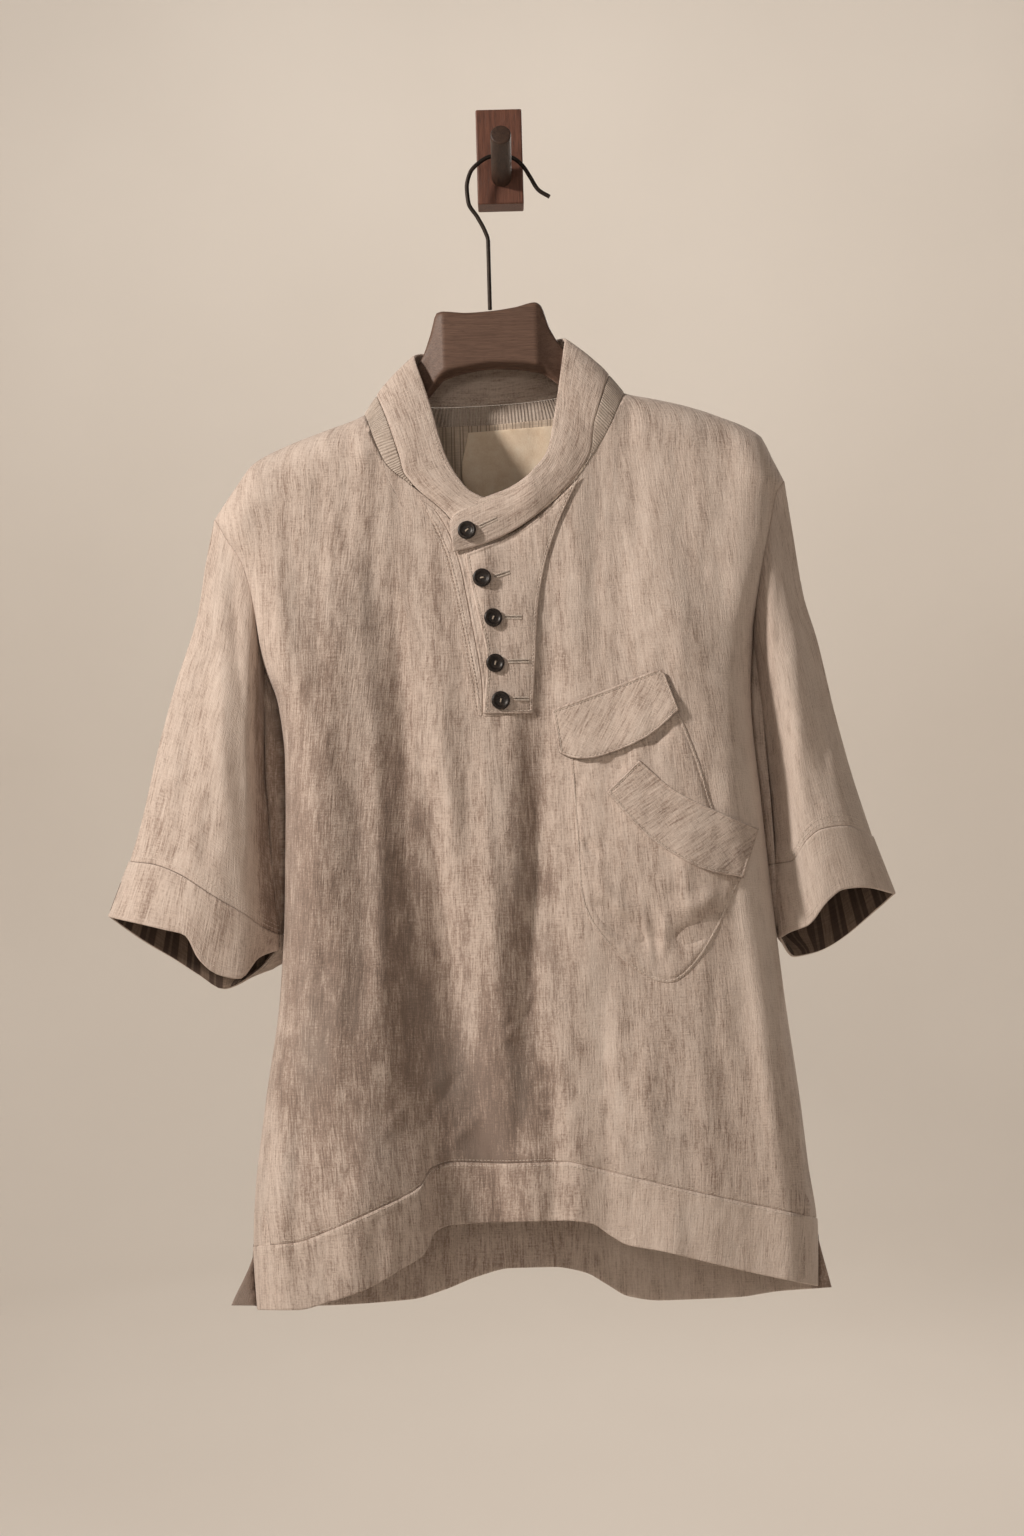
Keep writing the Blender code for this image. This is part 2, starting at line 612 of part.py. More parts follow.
# By u of the seam: how far it stands in front of the panel, the drawn top edge and its depth, and
# the stand's share of the height.
CollarPoint = namedtuple("CollarPoint", "seam_u lift top_u top_v top_y stand")
COLLAR_LEFT = (
    CollarPoint(-40, 0.0, -14, -290, -76, 0.0), CollarPoint(-54, 0.0, -31, -281, -75, 0.0),
    CollarPoint(-66, 0.0, -38, -273, -74, 0.0), CollarPoint(-86, 0.0, -47, -258, -72, 0.1),
    CollarPoint(-100, 0.0, -54, -238, -68, 0.27), CollarPoint(-108, 0.0, -59, -218, -62, 0.29),
    CollarPoint(-113, 0.0, -72, -174, -44, 0.29),
)
COLLAR_BACK = (
    CollarPoint(-108, 0.0, -71, -172, -32, 0.29), CollarPoint(-100, 0.0, -66, -171, -24, 0.29),
    CollarPoint(-86, 0.0, -56, -171, -22, 0.29), CollarPoint(-40, 0.0, -34, -171, -20, 0.29),
    CollarPoint(-10, 0.0, -8, -170, -19, 0.29), CollarPoint(46, 0.0, 24, -167, -20, 0.29),
    CollarPoint(80, 0.0, 38, -163, -22, 0.29), CollarPoint(88, 0.0, 45, -162, -31, 0.29),
)
COLLAR_RIGHT = (
    CollarPoint(94, 0.0, 48, -163, -44, 0.29), CollarPoint(88, 0.0, 45, -182, -56, 0.28),
    CollarPoint(80, 0.0, 42, -201, -63, 0.25), CollarPoint(66, 0.2, 38, -223, -69, 0.06),
    CollarPoint(46, 1.5, 32, -250, -74, 0.0), CollarPoint(20, 4.0, 17, -269, -79, 0.0),
)
# The tab past the neck seam, drawn: its lower and its upper edge.
TAB = (
    ((0, -316), (0, -280)), ((-22, -325), (-22, -288)), ((-40, -329), (-38, -295)),
    ((-46, -330), (-47, -305)),
)
TAB_LIFT = 5.0  # how far the tab stands in front of the front panel
COLLAR_BOW = 3.0  # how far the band bows outwards between its edges
NECK_MIDDLE = place(-12, -230, -45)


def collar_part(table, drawn, backwards):
    """(seam, top, stand) for each of a panel's own neck points that the table covers."""
    ends = [row.seam_u for row in table]
    neck = [point for point in zip(*(grid[-1] for grid in drawn)) if min(ends) - 1 < point[0] < max(ends) + 1]
    for u, v, y in neck[::-1] if backwards else neck:
        lift, top_u, top_v, top_y, stand = (
            float(through([(row.seam_u, row[i]) for row in table], u)) for i in range(1, 6)
        )
        yield place(u, v, y - lift), place(top_u, top_v, top_y), stand


def tab_part():
    for (low_u, low_v), (high_u, high_v) in TAB:
        low = place(low_u, low_v, front_depth(low_u, low_v) - TAB_LIFT)
        yield low, place(high_u, high_v, front_depth(high_u, high_v) - TAB_LIFT), 0.0


def across_collar(stations, low, high, cells):
    """The collar's surface between two shares of its height, which may change along it."""
    seam, top = (np.array([station[i] for station in stations]) for i in (0, 1))
    outwards = np.cross(np.gradient(seam, axis=0), top - seam)
    outwards /= np.linalg.norm(outwards, axis=-1, keepdims=True)
    outwards *= np.sign(((seam - NECK_MIDDLE) * outwards).sum(-1, keepdims=True))
    rows = []
    for t in np.linspace(0, 1, cells + 1):
        share = (low + (high - low) * t)[:, None]
        bow = COLLAR_BOW * MM * 4 * share * (1 - share)
        rows.append(seam + (top - seam) * share + outwards * bow)
    return np.array(rows)


stations = [
    *collar_part(COLLAR_LEFT, front_drawn, True), *collar_part(COLLAR_BACK, back_drawn, False),
    *collar_part(COLLAR_RIGHT, front_drawn, True), *tab_part(),
]
stand_share = np.array([station[2] for station in stations])
band = across_collar(stations, stand_share, np.ones(len(stations)), 3)
thicken(sheet("collar_band", drawn_back(band, np.where(stand_share > 0, BUTT, STEEP)[:, None])))
has_stand = np.flatnonzero(stand_share > 0.04)
stand = across_collar(stations, np.zeros(len(stations)), stand_share, 1)[:, has_stand[0] : has_stand[-1] + 1]
thicken(sheet("collar_stand", drawn_back(stand, STEEP, BUTT), "ribbed_linen"))

for form in (front_form, back_form):
    bpy.data.objects.remove(form)


# ---------------------------------------------------------------------------------------------
# Buttons: turned discs with a rim, a dish and two holes.
# ---------------------------------------------------------------------------------------------

# u, v and the piece that each lies on, from the top.
BUTTONS = (
    (-34, -313, "collar_band"), (-23, -352, "placket_over"), (-16, -384, "placket_over"),
    (-15, -420, "placket_over"), (-11, -450, "placket_over"),
)
# Radius and height, from the dish over the rim to the back.
BUTTON_PROFILE = ((0, 1.9), (3.6, 2.0), (4.9, 2.9), (5.6, 3.0), (6.9, 2.5), (7.4, 1.5), (6.2, 0.0), (0, 0))
HOLE_RADIUS, HOLE_OFFSET = 0.8, 1.5
BUTTON_SEGMENTS = 20


def button_mesh():
    """A button with its back on z = 0, turned and then drilled, as a mesh."""
    bm = bmesh.new()
    verts = [bm.verts.new((radius * MM, 0, height * MM)) for radius, height in BUTTON_PROFILE]
    for a, b in zip(verts, verts[1:]):
        bm.edges.new((a, b))
    profile = bpy.data.meshes.new("button_profile")
    bm.to_mesh(profile)
    bm.free()
    turned = bpy.data.objects.new("button_turned", profile)
    SHIRT.objects.link(turned)
    screw = turned.modifiers.new("turn", "SCREW")
    screw.steps = screw.render_steps = BUTTON_SEGMENTS
    screw.use_merge_vertices = True
    screw.merge_threshold = 0.00001
    drills = []
    for side in (-1, 1):
        bpy.ops.mesh.primitive_cylinder_add(
            vertices=8, radius=HOLE_RADIUS * MM, depth=0.02, location=(side * HOLE_OFFSET * MM, 0, 0)
        )
        drills.append(bpy.context.object)
        drill = turned.modifiers.new("drill", "BOOLEAN")
        drill.object = drills[-1]
    bpy.context.view_layer.update()
    made = bpy.data.meshes.new_from_object(turned.evaluated_get(bpy.context.evaluated_depsgraph_get()))
    for helper in (turned, *drills):
        bpy.data.objects.remove(helper)
    return made


button = button_mesh()
for number, (u, v, carrier) in enumerate(BUTTONS, 1):
    point, normal = on_front(bpy.data.objects[carrier], u, v)
    obj = link(f"button_{number}", button, "horn")
    turn_to_normal = normal.to_track_quat("Z", "Y").to_matrix().to_4x4()
    obj.matrix_world = Matrix.Translation(point + normal * SEAM_GAP * 1.5 * MM) @ turn_to_normal


# ---------------------------------------------------------------------------------------------
# The hanger, its hook, and the block and peg on the wall.
# ---------------------------------------------------------------------------------------------

# Sections of the hanger from its left tip to its right tip, drawn: the top and the bottom, the
# middle y and half the depth, and how square the section is.
Section = namedtuple("Section", "u top bottom middle half_depth squareness")
HANGER = (
    Section(-207, -268, -276, -44, 7, 2.0), Section(-202, -262, -284, -44, 11, 2.2),
    Section(-185, -248.5, -284, -44, 12, 2.3), Section(-160, -238, -276, -44, 13, 2.3),
    Section(-136, -229, -266, -44, 12, 2.3), Section(-113, -223, -253, -42, 9, 2.4),
    Section(-92, -206, -238, -42, 9, 2.6), Section(-77, -190, -223, -40, 8.5, 3.0),
    Section(-67, -176, -213, -39, 8.0, 4.0), Section(-59, -155, -204, -38, 9, 6.0),
    Section(-54, -139, -198, -38, 10, 9.0), Section(-49, -137.5, -193, -38, 11, 9.0),
    Section(-30, -139, -187.5, -38, 11, 9.0), Section(-10, -138, -185, -38, 11, 9.0),
    Section(9, -135.5, -186, -38, 11, 9.0), Section(25, -132, -188.5, -38, 11, 9.0),
    Section(30, -135, -190, -38, 10, 9.0), Section(36, -152, -194, -38, 9, 6.0),
    Section(45, -168, -201, -39, 8.5, 4.0), Section(60, -184, -213, -40, 8.5, 3.0),
    Section(78, -201, -227, -42, 8.5, 2.6), Section(94, -212, -238, -42, 8.5, 2.4),
    Section(114, -214, -247, -44, 11, 2.3), Section(138, -218, -255, -44, 13, 2.3),
    Section(162, -226, -263, -44, 12.5, 2.3), Section(187, -238, -270, -44, 11, 2.2),
    Section(194, -246, -262, -44, 7, 2.0),
)
SEAT = 2.5  # from the shoulder line down to the hanger that carries it
SECTION_POINTS = 16


def hanger_section(row):
    """Points round one section, which stands square to the hanger."""
    turn = np.linspace(0, 2 * math.pi, SECTION_POINTS, endpoint=False) + math.pi / 2
    reach = np.abs(np.stack((np.cos(turn), np.sin(turn)))) ** (2 / row.squareness)
    across, up = np.sign(np.cos(turn)) * reach[0], np.sign(np.sin(turn)) * reach[1]
    in_neck = FRONT_NECK[0][0] < row.u < FRONT_NECK[-1][0]
    top = row.top if in_neck else min(row.top, shoulder_line(row.u) - SEAT)
    v = (top + row.bottom) / 2 + (top - row.bottom) / 2 * up
    points = place(row.u, v, row.middle)
    points[:, 1] += row.half_depth * across * MM
    return points


def loft(name, rings, material):
    """A closed body through rings of points, with flat ends."""
    obj = sheet(name, np.array(rings), material, closed=True)
    bm = bmesh.new()
    bm.from_mesh(obj.data)
    bmesh.ops.holes_fill(bm, edges=[edge for edge in bm.edges if edge.is_boundary])
    bmesh.ops.recalc_face_normals(bm, faces=bm.faces)
    bm.to_mesh(obj.data)
    bm.free()
    return obj


# The hook's route from the hanger's head up to its free end, drawn, all at HANG_DEPTH.
HOOK = (
    (-11, -137), (-11, -108), (-11, -82), (-13, -75), (-19, -63), (-26, -51), (-27, -39), (-24, -27),
    (-17, -19.5), (-9, -15), (0, -13.4), (10, -16), (18, -22.5), (24, -32), (30, -42), (39, -48),
)


def wire(name, route, radius, material):
    """A bent wire on a smooth curve through the route's points."""
    at = np.linspace(0, 1, WIRE_POINTS)
    points = place(*along(route, at).T, HANG_DEPTH)
    data = bpy.data.curves.new(name, "CURVE")
    data.dimensions = "3D"
    spline = data.splines.new("POLY")
    spline.points.add(len(points) - 1)
    for target, point in zip(spline.points, points):
        target.co = (*point, 1)
    data.bevel_depth = radius * MM
    data.bevel_resolution = 2
    data.use_fill_caps = True
    return link(name, data, material)


def wall_block():
    width, depth, height = BLOCK_SIZE
    bpy.ops.mesh.primitive_cube_add(size=1, location=(0, -depth / 2 * MM, 0))
    block = bpy.context.object
    block.name = block.data.name = "wall_block"
    block.data.transform(Matrix.Diagonal((width * MM, depth * MM, height * MM, 1)))
    bevel = block.modifiers.new("rounded_edges", "BEVEL")
    bevel.width = EDGE_ROUNDING * MM
    bevel.segments = 2
    return block


def wall_peg():
    """The peg slants up out of the block. Its foot is cut flat along the block's face."""
    foot = Vector(place(1, -31, -BLOCK_SIZE[1]))
    out = Vector((0, -math.cos(PEG_TILT), math.sin(PEG_TILT)))
    inside = PEG_INSIDE * MM
    length = PEG_LENGTH * MM + inside
    bpy.ops.mesh.primitive_cylinder_add(
        vertices=32, radius=PEG_RADIUS * MM, depth=length, location=foot + out * (length / 2 - inside),
        rotation=out.to_track_quat("Z", "Y").to_euler(),
    )
    peg = bpy.context.object
    peg.name = peg.data.name = "wall_peg"
    peg.data.shade_smooth()
    bevel = peg.modifiers.new("rounded_edges", "BEVEL")
    bevel.width = EDGE_ROUNDING * MM
    bevel.segments = 2
    behind = BLOCK_SIZE[1] + SEAM_GAP
    bpy.ops.mesh.primitive_cube_add(size=1, location=(0, -behind / 2 * MM, 0))
    cutter = bpy.context.object
    cutter.name = "peg_foot_cutter"
    cutter.data.transform(Matrix.Diagonal((0.2, behind * MM, 0.2, 1)))
    cutter.hide_render = True
    cutter.display_type = "WIRE"
    cut = peg.modifiers.new("foot", "BOOLEAN")
    cut.object = cutter
    return peg, cutter


loft("hanger_body", [hanger_section(row) for row in HANGER], "walnut")
wire("hanger_hook", HOOK, WIRE_RADIUS, "bronze_wire")
block = wall_block()
peg, foot_cutter = wall_peg()
for obj, group, material in (
    (block, SHIRT, "block_wood"), (peg, SHIRT, "peg_wood"), (foot_cutter, CUTTERS, None),
):
    for old_group in list(obj.users_collection):
        old_group.objects.unlink(obj)
    group.objects.link(obj)
    if material:
        obj.data.materials.append(finish(material))
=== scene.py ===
"""The looks of a woven pullover shirt with a band collar on a wooden hanger and a wall peg.

The cloth repeats the forms of the solids at a finer grain: thin shells with rounded edges, creases,
stitches and woven materials. Outlines are drawn, as (u, v), from a viewpoint in front of the shirt:
u is millimetres to the right and v is millimetres up, both in the plane y = DRAWN_AT. `place`
carries a drawn point along its line of sight to its own depth y.
"""

import json
import math
from collections import namedtuple

import bmesh
import bpy
import numpy as np
from mathutils import Matrix, Vector
from mathutils.bvhtree import BVHTree
from mathutils.geometry import delaunay_2d_cdt

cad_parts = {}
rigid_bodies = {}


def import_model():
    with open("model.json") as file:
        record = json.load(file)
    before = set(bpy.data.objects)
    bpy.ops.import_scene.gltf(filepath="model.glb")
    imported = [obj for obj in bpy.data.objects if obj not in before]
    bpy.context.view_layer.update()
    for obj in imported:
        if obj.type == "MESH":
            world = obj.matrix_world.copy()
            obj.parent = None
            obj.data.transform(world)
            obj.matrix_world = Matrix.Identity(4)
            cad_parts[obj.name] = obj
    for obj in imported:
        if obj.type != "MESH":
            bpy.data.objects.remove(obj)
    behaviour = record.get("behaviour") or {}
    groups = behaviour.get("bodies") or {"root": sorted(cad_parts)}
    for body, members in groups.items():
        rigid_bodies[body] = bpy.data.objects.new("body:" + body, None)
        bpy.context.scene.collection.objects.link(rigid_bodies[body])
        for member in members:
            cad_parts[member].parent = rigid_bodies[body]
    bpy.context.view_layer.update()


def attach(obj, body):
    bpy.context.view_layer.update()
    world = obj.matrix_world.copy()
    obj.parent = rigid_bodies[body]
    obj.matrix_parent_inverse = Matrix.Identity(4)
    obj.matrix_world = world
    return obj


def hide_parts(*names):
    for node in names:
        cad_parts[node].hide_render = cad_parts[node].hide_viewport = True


for old in list(bpy.data.objects):
    bpy.data.objects.remove(old)
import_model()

MM = 0.001

# ---------------------------------------------------------------------------------------------
# The drawn outlines of the solids, in millimetres.
# ---------------------------------------------------------------------------------------------

VIEWPOINT = np.array((-3.0, -1606.0, -504.0))
DRAWN_AT = -70.0  # y of the plane that outlines are drawn in
HANG_DEPTH = -38.0  # y of the hook
ARM_DEPTH = -44.0  # y of the shoulder line
SIDE_DEPTH = -45.0  # y of the side seams
BACK_DEPTH = -14.0  # y of the back panel's middle
ROLL = 26.0  # how far in from a side seam the cloth rolls round
SHOULDER_ROLL = 34.0  # the same below the shoulder line
ARMHOLE_BULGE = 17.0  # how far the armhole's seam stands off SIDE_DEPTH, each way
SHOULDERS_LOW, SHOULDERS_FADE = -250, 80  # v where ARM_DEPTH gives way to SIDE_DEPTH
SIDES_FROM, SIDES_FADE = 120, 60  # how far from the middle the armhole's bulge begins


def table(kind, *rows):
    """A short table's rows, with their columns named."""
    return tuple(kind(*row) for row in rows)


SHOULDER_POINT = {"left": (-235, -299), "right": (220, -280)}
UNDERARM = {"left": (-199, -415), "right": (192, -397)}

# The shoulder line, on each side of the neck.
LEFT_SHOULDER = ((-235, -299), (-218, -275), (-203, -256), (-175, -242), (-145, -231), (-113, -219))
RIGHT_SHOULDER = ((94, -207), (116, -212), (141, -218), (170, -228), (202, -244), (211, -262), (220, -280))
# The line on across the collar's top, from which the cloth at the neck rolls down.
RIDGE = ((-74, -178), (48, -162))
# The neck seams between the two shoulder lines' ends.
FRONT_NECK = (
    (-113, -219), (-106, -240), (-97, -259), (-81, -273), (-54, -296), (-40, -311), (-22, -320), (1, -316),
    (21, -303), (41, -286), (64, -262), (78, -241), (90, -217), (94, -207),
)
BACK_NECK = ((-113, -219), (-95, -227), (-54, -232), (-10, -231), (34, -228), (78, -218), (94, -207))

# Side outlines, (v, u): the armhole seam, then the body's side, then the front edge of the vent.
LEFT_SIDE = (
    (-299, -235), (-317, -225), (-333, -215), (-363, -207), (-412, -200), (-450, -188), (-493, -184),
    (-605, -187), (-685, -193), (-764, -206), (-844, -217), (-881, -219), (-934, -217),
)
RIGHT_SIDE = (
    (-280, 220), (-289, 214), (-310, 209), (-352, 200), (-401, 192), (-455, 189), (-535, 195), (-615, 202),
    (-695, 210), (-776, 220), (-826, 225), (-878, 231), (-926, 230),
)
# The back panel's corners spread outside the front's below the vents, (v, u).
LEFT_VENT_BACK = ((-880, -219), (-928, -239))
RIGHT_VENT_BACK = ((-876, 231), (-926, 242))

FRONT_HEM_SEAM = (
    (-219, -881), (-186, -879), (-156, -869), (-120, -854), (-98, -844), (-86, -837), (-76, -822),
    (-60, -818), (-12, -820), (30, -820), (56, -826), (116, -842), (185, -859), (231, -870),
)
FRONT_EDGE = (
    (-219, -932), (-185, -933), (-166, -929), (-131, -918), (-103, -903), (-84, -891), (-74, -873),
    (-58, -868), (-22, -867), (28, -867), (51, -870), (66, -880), (80, -888), (104, -893), (149, -905),
    (184, -914), (231, -925),
)
BACK_EDGE = (
    (-239, -928), (-166, -930), (-95, -927), (-68, -920), (-41, -910), (-14, -904), (19, -904), (45, -909),
    (62, -919), (79, -929), (105, -933), (166, -932), (200, -928), (242, -926),
)
BACK_HEM_HEIGHT = 50.0

# The front's depth on its middle, (v, y).
FRONT_DEPTHS = ((-935, -92), (-800, -95), (-600, -94), (-450, -88), (-330, -78), (-250, -70), (-160, -66))

# The largest folds, drawn from top to bottom. rise is towards the viewer, left and right are how
# far the fold reaches to each side of its line.
Fold = namedtuple("Fold", "top_u top_v low_u low_v rise left right")
FRONT_FOLDS = table(
    Fold,
    (-128, -470, -150, -1250, 17, 62, 44), (-62, -430, -44, -1300, -11, 40, 34),
    (-16, -465, -2, -960, 7, 26, 26), (30, -360, 4, -860, -9, 22, 30), (110, -640, 168, -1400, 8, 70, 60),
    (-150, -300, -172, -640, 6, 40, 34), (120, -300, 150, -660, 6, 50, 34),
)
BACK_FOLDS = table(
    Fold,
    (-110, -420, -140, -1300, 6, 60, 50), (-20, -380, -12, -1300, 4, 50, 50),
    (95, -440, 130, -1300, 6, 60, 60),
)
# The left part of the hem stands in front of the rest.
HemStep = namedtuple("HemStep", "at_u width start_v full_v rise")
HEM_STEP = HemStep(-80.0, 16.0, -770.0, -868.0, 14.0)

# Outlines of what lies on the panels: sharp at a "corner", smooth at the other points.
PLACKET_OVER = (
    (58, -272, "corner"), (41, -288), (21, -305), (1, -318), (-22, -327), (-36, -332, "corner"),
    (-32, -359), (-26, -386), (-21, -416), (-25, -460, "corner"), (15, -461, "corner"), (18, -420),
    (20, -393), (22, -371), (27, -345), (34, -323), (44, -299),
)
PLACKET_FACING = (
    (-71, -287, "corner"), (-58, -312), (-48, -339), (-41, -379), (-31, -430), (-29, -462, "corner"),
    (-26, -462, "corner"), (-26, -430), (-34, -379), (-41, -339), (-50, -312), (-60, -295, "corner"),
)
PLACKET_UNDER = (
    (-59, -296, "corner"), (-49, -312), (-40, -339), (-33, -379), (-25, -430), (-25, -462, "corner"),
    (-8, -462, "corner"), (-8, -420), (-14, -379), (-22, -350), (-26, -332), (-35, -316, "corner"),
    (-46, -305),
)
POCKET_BAG = (
    (42, -472, "corner"), (44, -498), (47, -563), (51, -616), (74, -652), (101, -674), (124, -678),
    (147, -656), (165, -623), (178, -597, "corner"), (172, -570, "corner"), (158, -542), (147, -503),
    (132, -464), (120, -446, "corner"),
)
UPPER_FLAP = (
    (30, -458, "corner"), (69, -445), (115, -428, "corner"), (121, -431, "corner"), (132, -461, "corner"),
    (106, -482), (71, -496), (49, -498), (35, -493, "corner"),
)
LOWER_FLAP = (
    (99, -500, "corner"), (127, -525), (159, -542), (193, -558, "corner"), (180, -597, "corner"),
    (145, -588), (104, -562), (72, -525, "corner"),
)
VENT_STRIPS = {
    "left": (
        (-212, -848, "corner"), (-208, -862), (-206, -880), (-202, -932, "corner"),
        (-215, -930, "corner"), (-216, -862, "corner"),
    ),
    "right": (
        (223, -850, "corner"), (221, -868), (217, -895), (214, -921, "corner"),
        (228, -921, "corner"), (228, -862, "corner"),
    ),
}
BACK_YOKE = (
    (-92, -231, "corner"), (-54, -230), (-10, -229), (34, -226), (76, -224, "corner"), (82, -290),
    (50, -322), (-8, -332), (-66, -322), (-98, -290),
)
NECK_LABEL = (
    (-31, -235, "corner"), (42, -231, "corner"), (42, -300, "corner"), (-22, -304, "corner"), (-37, -270),
)
# The line where the facing's edge is stitched down, drawn.
PLACKET_FACING_LINE = ((-60, -306), (-50, -330), (-43, -360), (-36, -400), (-30, -440), (-28, -460))

Sleeve = namedtuple("Sleeve", "outer inner seam_front seam_rear edge_front edge_rear")
SLEEVES = {
    "left": Sleeve(
        outer=(
            (-235, -299), (-243, -335), (-250, -373), (-271, -435), (-285, -482), (-301, -544),
            (-310, -571),
        ),
        inner=((-200, -412), (-200, -444), (-200, -498), (-198, -539), (-197, -580), (-194, -632)),
        seam_front=(
            (-310, -571), (-294, -573), (-275, -580), (-243, -601), (-222, -614), (-204, -627),
            (-194, -632),
        ),
        seam_rear=((-310, -571), (-285, -592), (-258, -614), (-230, -628), (-194, -632)),
        edge_front=(
            (-328, -615), (-285, -626), (-268, -631), (-258, -650), (-243, -663), (-226, -667),
            (-209, -650), (-195, -645),
        ),
        edge_rear=(
            (-328, -615), (-301, -635), (-277, -650), (-258, -663), (-238, -675), (-212, -662),
            (-195, -645),
        ),
    ),
    "right": Sleeve(
        outer=(
            (220, -280), (226, -324), (233, -372), (243, -408), (255, -464), (268, -516), (283, -566),
        ),
        inner=((192, -401), (196, -440), (200, -500), (203, -545), (205, -586)),
        seam_front=((283, -566), (261, -557), (244, -559), (232, -567), (219, -584), (205, -586)),
        seam_rear=((283, -566), (262, -578), (240, -590), (220, -594), (205, -586)),
        edge_front=(
            (300, -613), (274, -607), (260, -608), (247, -617), (231, -636), (217, -641), (208, -646),
        ),
        edge_rear=((300, -613), (287, -624), (250, -652), (236, -658), (219, -661), (208, -646)),
    ),
}
SLEEVE_MIDDLE = ((0, -45), (1, -47))  # y along the sleeve, from the armhole to the cuff's seam
SLEEVE_HALF_DEPTH = ((0, 17), (0.35, 25), (1, 30))

# By u of the seam: how far it stands in front of the panel, the drawn top edge and its depth, and
# the stand's share of the height.
CollarPoint = namedtuple("CollarPoint", "seam_u lift top_u top_v top_y stand")
COLLAR_LEFT = table(
    CollarPoint,
    (-40, 0.0, -14, -290, -76, 0.0), (-54, 0.0, -31, -281, -75, 0.0), (-66, 0.0, -38, -273, -74, 0.0),
    (-86, 0.0, -47, -258, -72, 0.1), (-100, 0.0, -54, -238, -68, 0.27), (-108, 0.0, -59, -218, -62, 0.29),
    (-113, 0.0, -72, -174, -44, 0.29),
)
COLLAR_BACK = table(
    CollarPoint,
    (-108, 0.0, -71, -172, -32, 0.29), (-100, 0.0, -66, -171, -24, 0.29), (-86, 0.0, -56, -171, -22, 0.29),
    (-40, 0.0, -34, -171, -20, 0.29), (-10, 0.0, -8, -170, -19, 0.29), (46, 0.0, 24, -167, -20, 0.29),
    (80, 0.0, 38, -163, -22, 0.29), (88, 0.0, 45, -162, -31, 0.29),
)
COLLAR_RIGHT = table(
    CollarPoint,
    (94, 0.0, 48, -163, -44, 0.29), (88, 0.0, 45, -182, -56, 0.28), (80, 0.0, 42, -201, -63, 0.25),
    (66, 0.2, 38, -223, -69, 0.06), (46, 1.5, 32, -250, -74, 0.0), (20, 4.0, 17, -269, -79, 0.0),
)

# Sections of the hanger from its left tip to its right tip, drawn: the top and the bottom, the
# middle y and half the depth, and how square the section is.
Section = namedtuple("Section", "u top bottom middle half_depth squareness")
HANGER = table(
    Section,
    (-207, -268, -276, -44, 7, 2.0), (-202, -262, -284, -44, 11, 2.2), (-185, -248.5, -284, -44, 12, 2.3),
    (-160, -238, -276, -44, 13, 2.3), (-136, -229, -266, -44, 12, 2.3), (-113, -223, -253, -42, 9, 2.4),
    (-92, -206, -238, -42, 9, 2.6), (-77, -190, -223, -40, 8.5, 3.0), (-67, -176, -213, -39, 8.0, 4.0),
    (-59, -155, -204, -38, 9, 6.0), (-54, -139, -198, -38, 10, 9.0), (-49, -137.5, -193, -38, 11, 9.0),
    (-30, -139, -187.5, -38, 11, 9.0), (-10, -138, -185, -38, 11, 9.0), (9, -135.5, -186, -38, 11, 9.0),
    (25, -132, -188.5, -38, 11, 9.0), (30, -135, -190, -38, 10, 9.0), (36, -152, -194, -38, 9, 6.0),
    (45, -168, -201, -39, 8.5, 4.0), (60, -184, -213, -40, 8.5, 3.0), (78, -201, -227, -42, 8.5, 2.6),
    (94, -212, -238, -42, 8.5, 2.4), (114, -214, -247, -44, 11, 2.3), (138, -218, -255, -44, 13, 2.3),
    (162, -226, -263, -44, 12.5, 2.3), (187, -238, -270, -44, 11, 2.2), (194, -246, -262, -44, 7, 2.0),
)

# The hook's route from the hanger's head up to its free end, drawn, all at HANG_DEPTH.
HOOK = (
    (-11, -137), (-11, -108), (-11, -82), (-13, -75), (-19, -63), (-26, -51), (-27, -39), (-24, -27),
    (-17, -19.5), (-9, -15), (0, -13.4), (10, -16), (18, -22.5), (24, -32), (30, -42), (39, -48),
)


# ---------------------------------------------------------------------------------------------
# The forms.
# ---------------------------------------------------------------------------------------------


def through(rows, at):
    """The value at a place on a smooth curve through (place, value) rows, with no overshoot."""
    place_of, value_of = np.array(sorted(rows), float).T
    step = np.diff(place_of)
    slope = np.diff(value_of) / step
    before, after = slope[:-1], slope[1:]
    tangent = np.concatenate(([slope[0]], np.zeros(len(slope) - 1), [slope[-1]]))
    agree = before * after > 0
    tangent[1:-1][agree] = 2 * before[agree] * after[agree] / (before[agree] + after[agree])
    at = np.clip(np.asarray(at, float), place_of[0], place_of[-1])
    i = np.clip(np.searchsorted(place_of, at) - 1, 0, len(step) - 1)
    q = (at - place_of[i]) / step[i]
    h = step[i]
    return (
        value_of[i] * (1 + 2 * q) * (1 - q) ** 2
        + h * tangent[i] * q * (1 - q) ** 2
        + value_of[i + 1] * q * q * (3 - 2 * q)
        + h * tangent[i + 1] * q * q * (q - 1)
    )


def ramp(q):
    """0 up to q = 0, 1 from q = 1, and a soft rise between."""
    q = np.clip(q, 0, 1)
    return q * q * (3 - 2 * q)


def rounding(q):
    """A quarter circle's rise: 0 at q = 0, where it is steep, and 1 from q = 1."""
    return np.sqrt(1 - (1 - np.clip(q, 0, 1)) ** 2)


def hill(q):
    """1 at q = 0, and a soft fall to nothing at about 2 on each side."""
    return np.exp(-(q**2))


def place(u, v, y):
    """The world point, in metres, that is drawn at (u, v) and lies at depth y."""
    nearness = (y - VIEWPOINT[1]) / (DRAWN_AT - VIEWPOINT[1])
    x = VIEWPOINT[0] + (u - VIEWPOINT[0]) * nearness
    z = VIEWPOINT[2] + (v - VIEWPOINT[2]) * nearness
    return np.stack(np.broadcast_arrays(x, y, z), -1) * MM


FOLD_GROWS, FOLD_ENDS = 0.35, 0.2  # shares of a fold's length


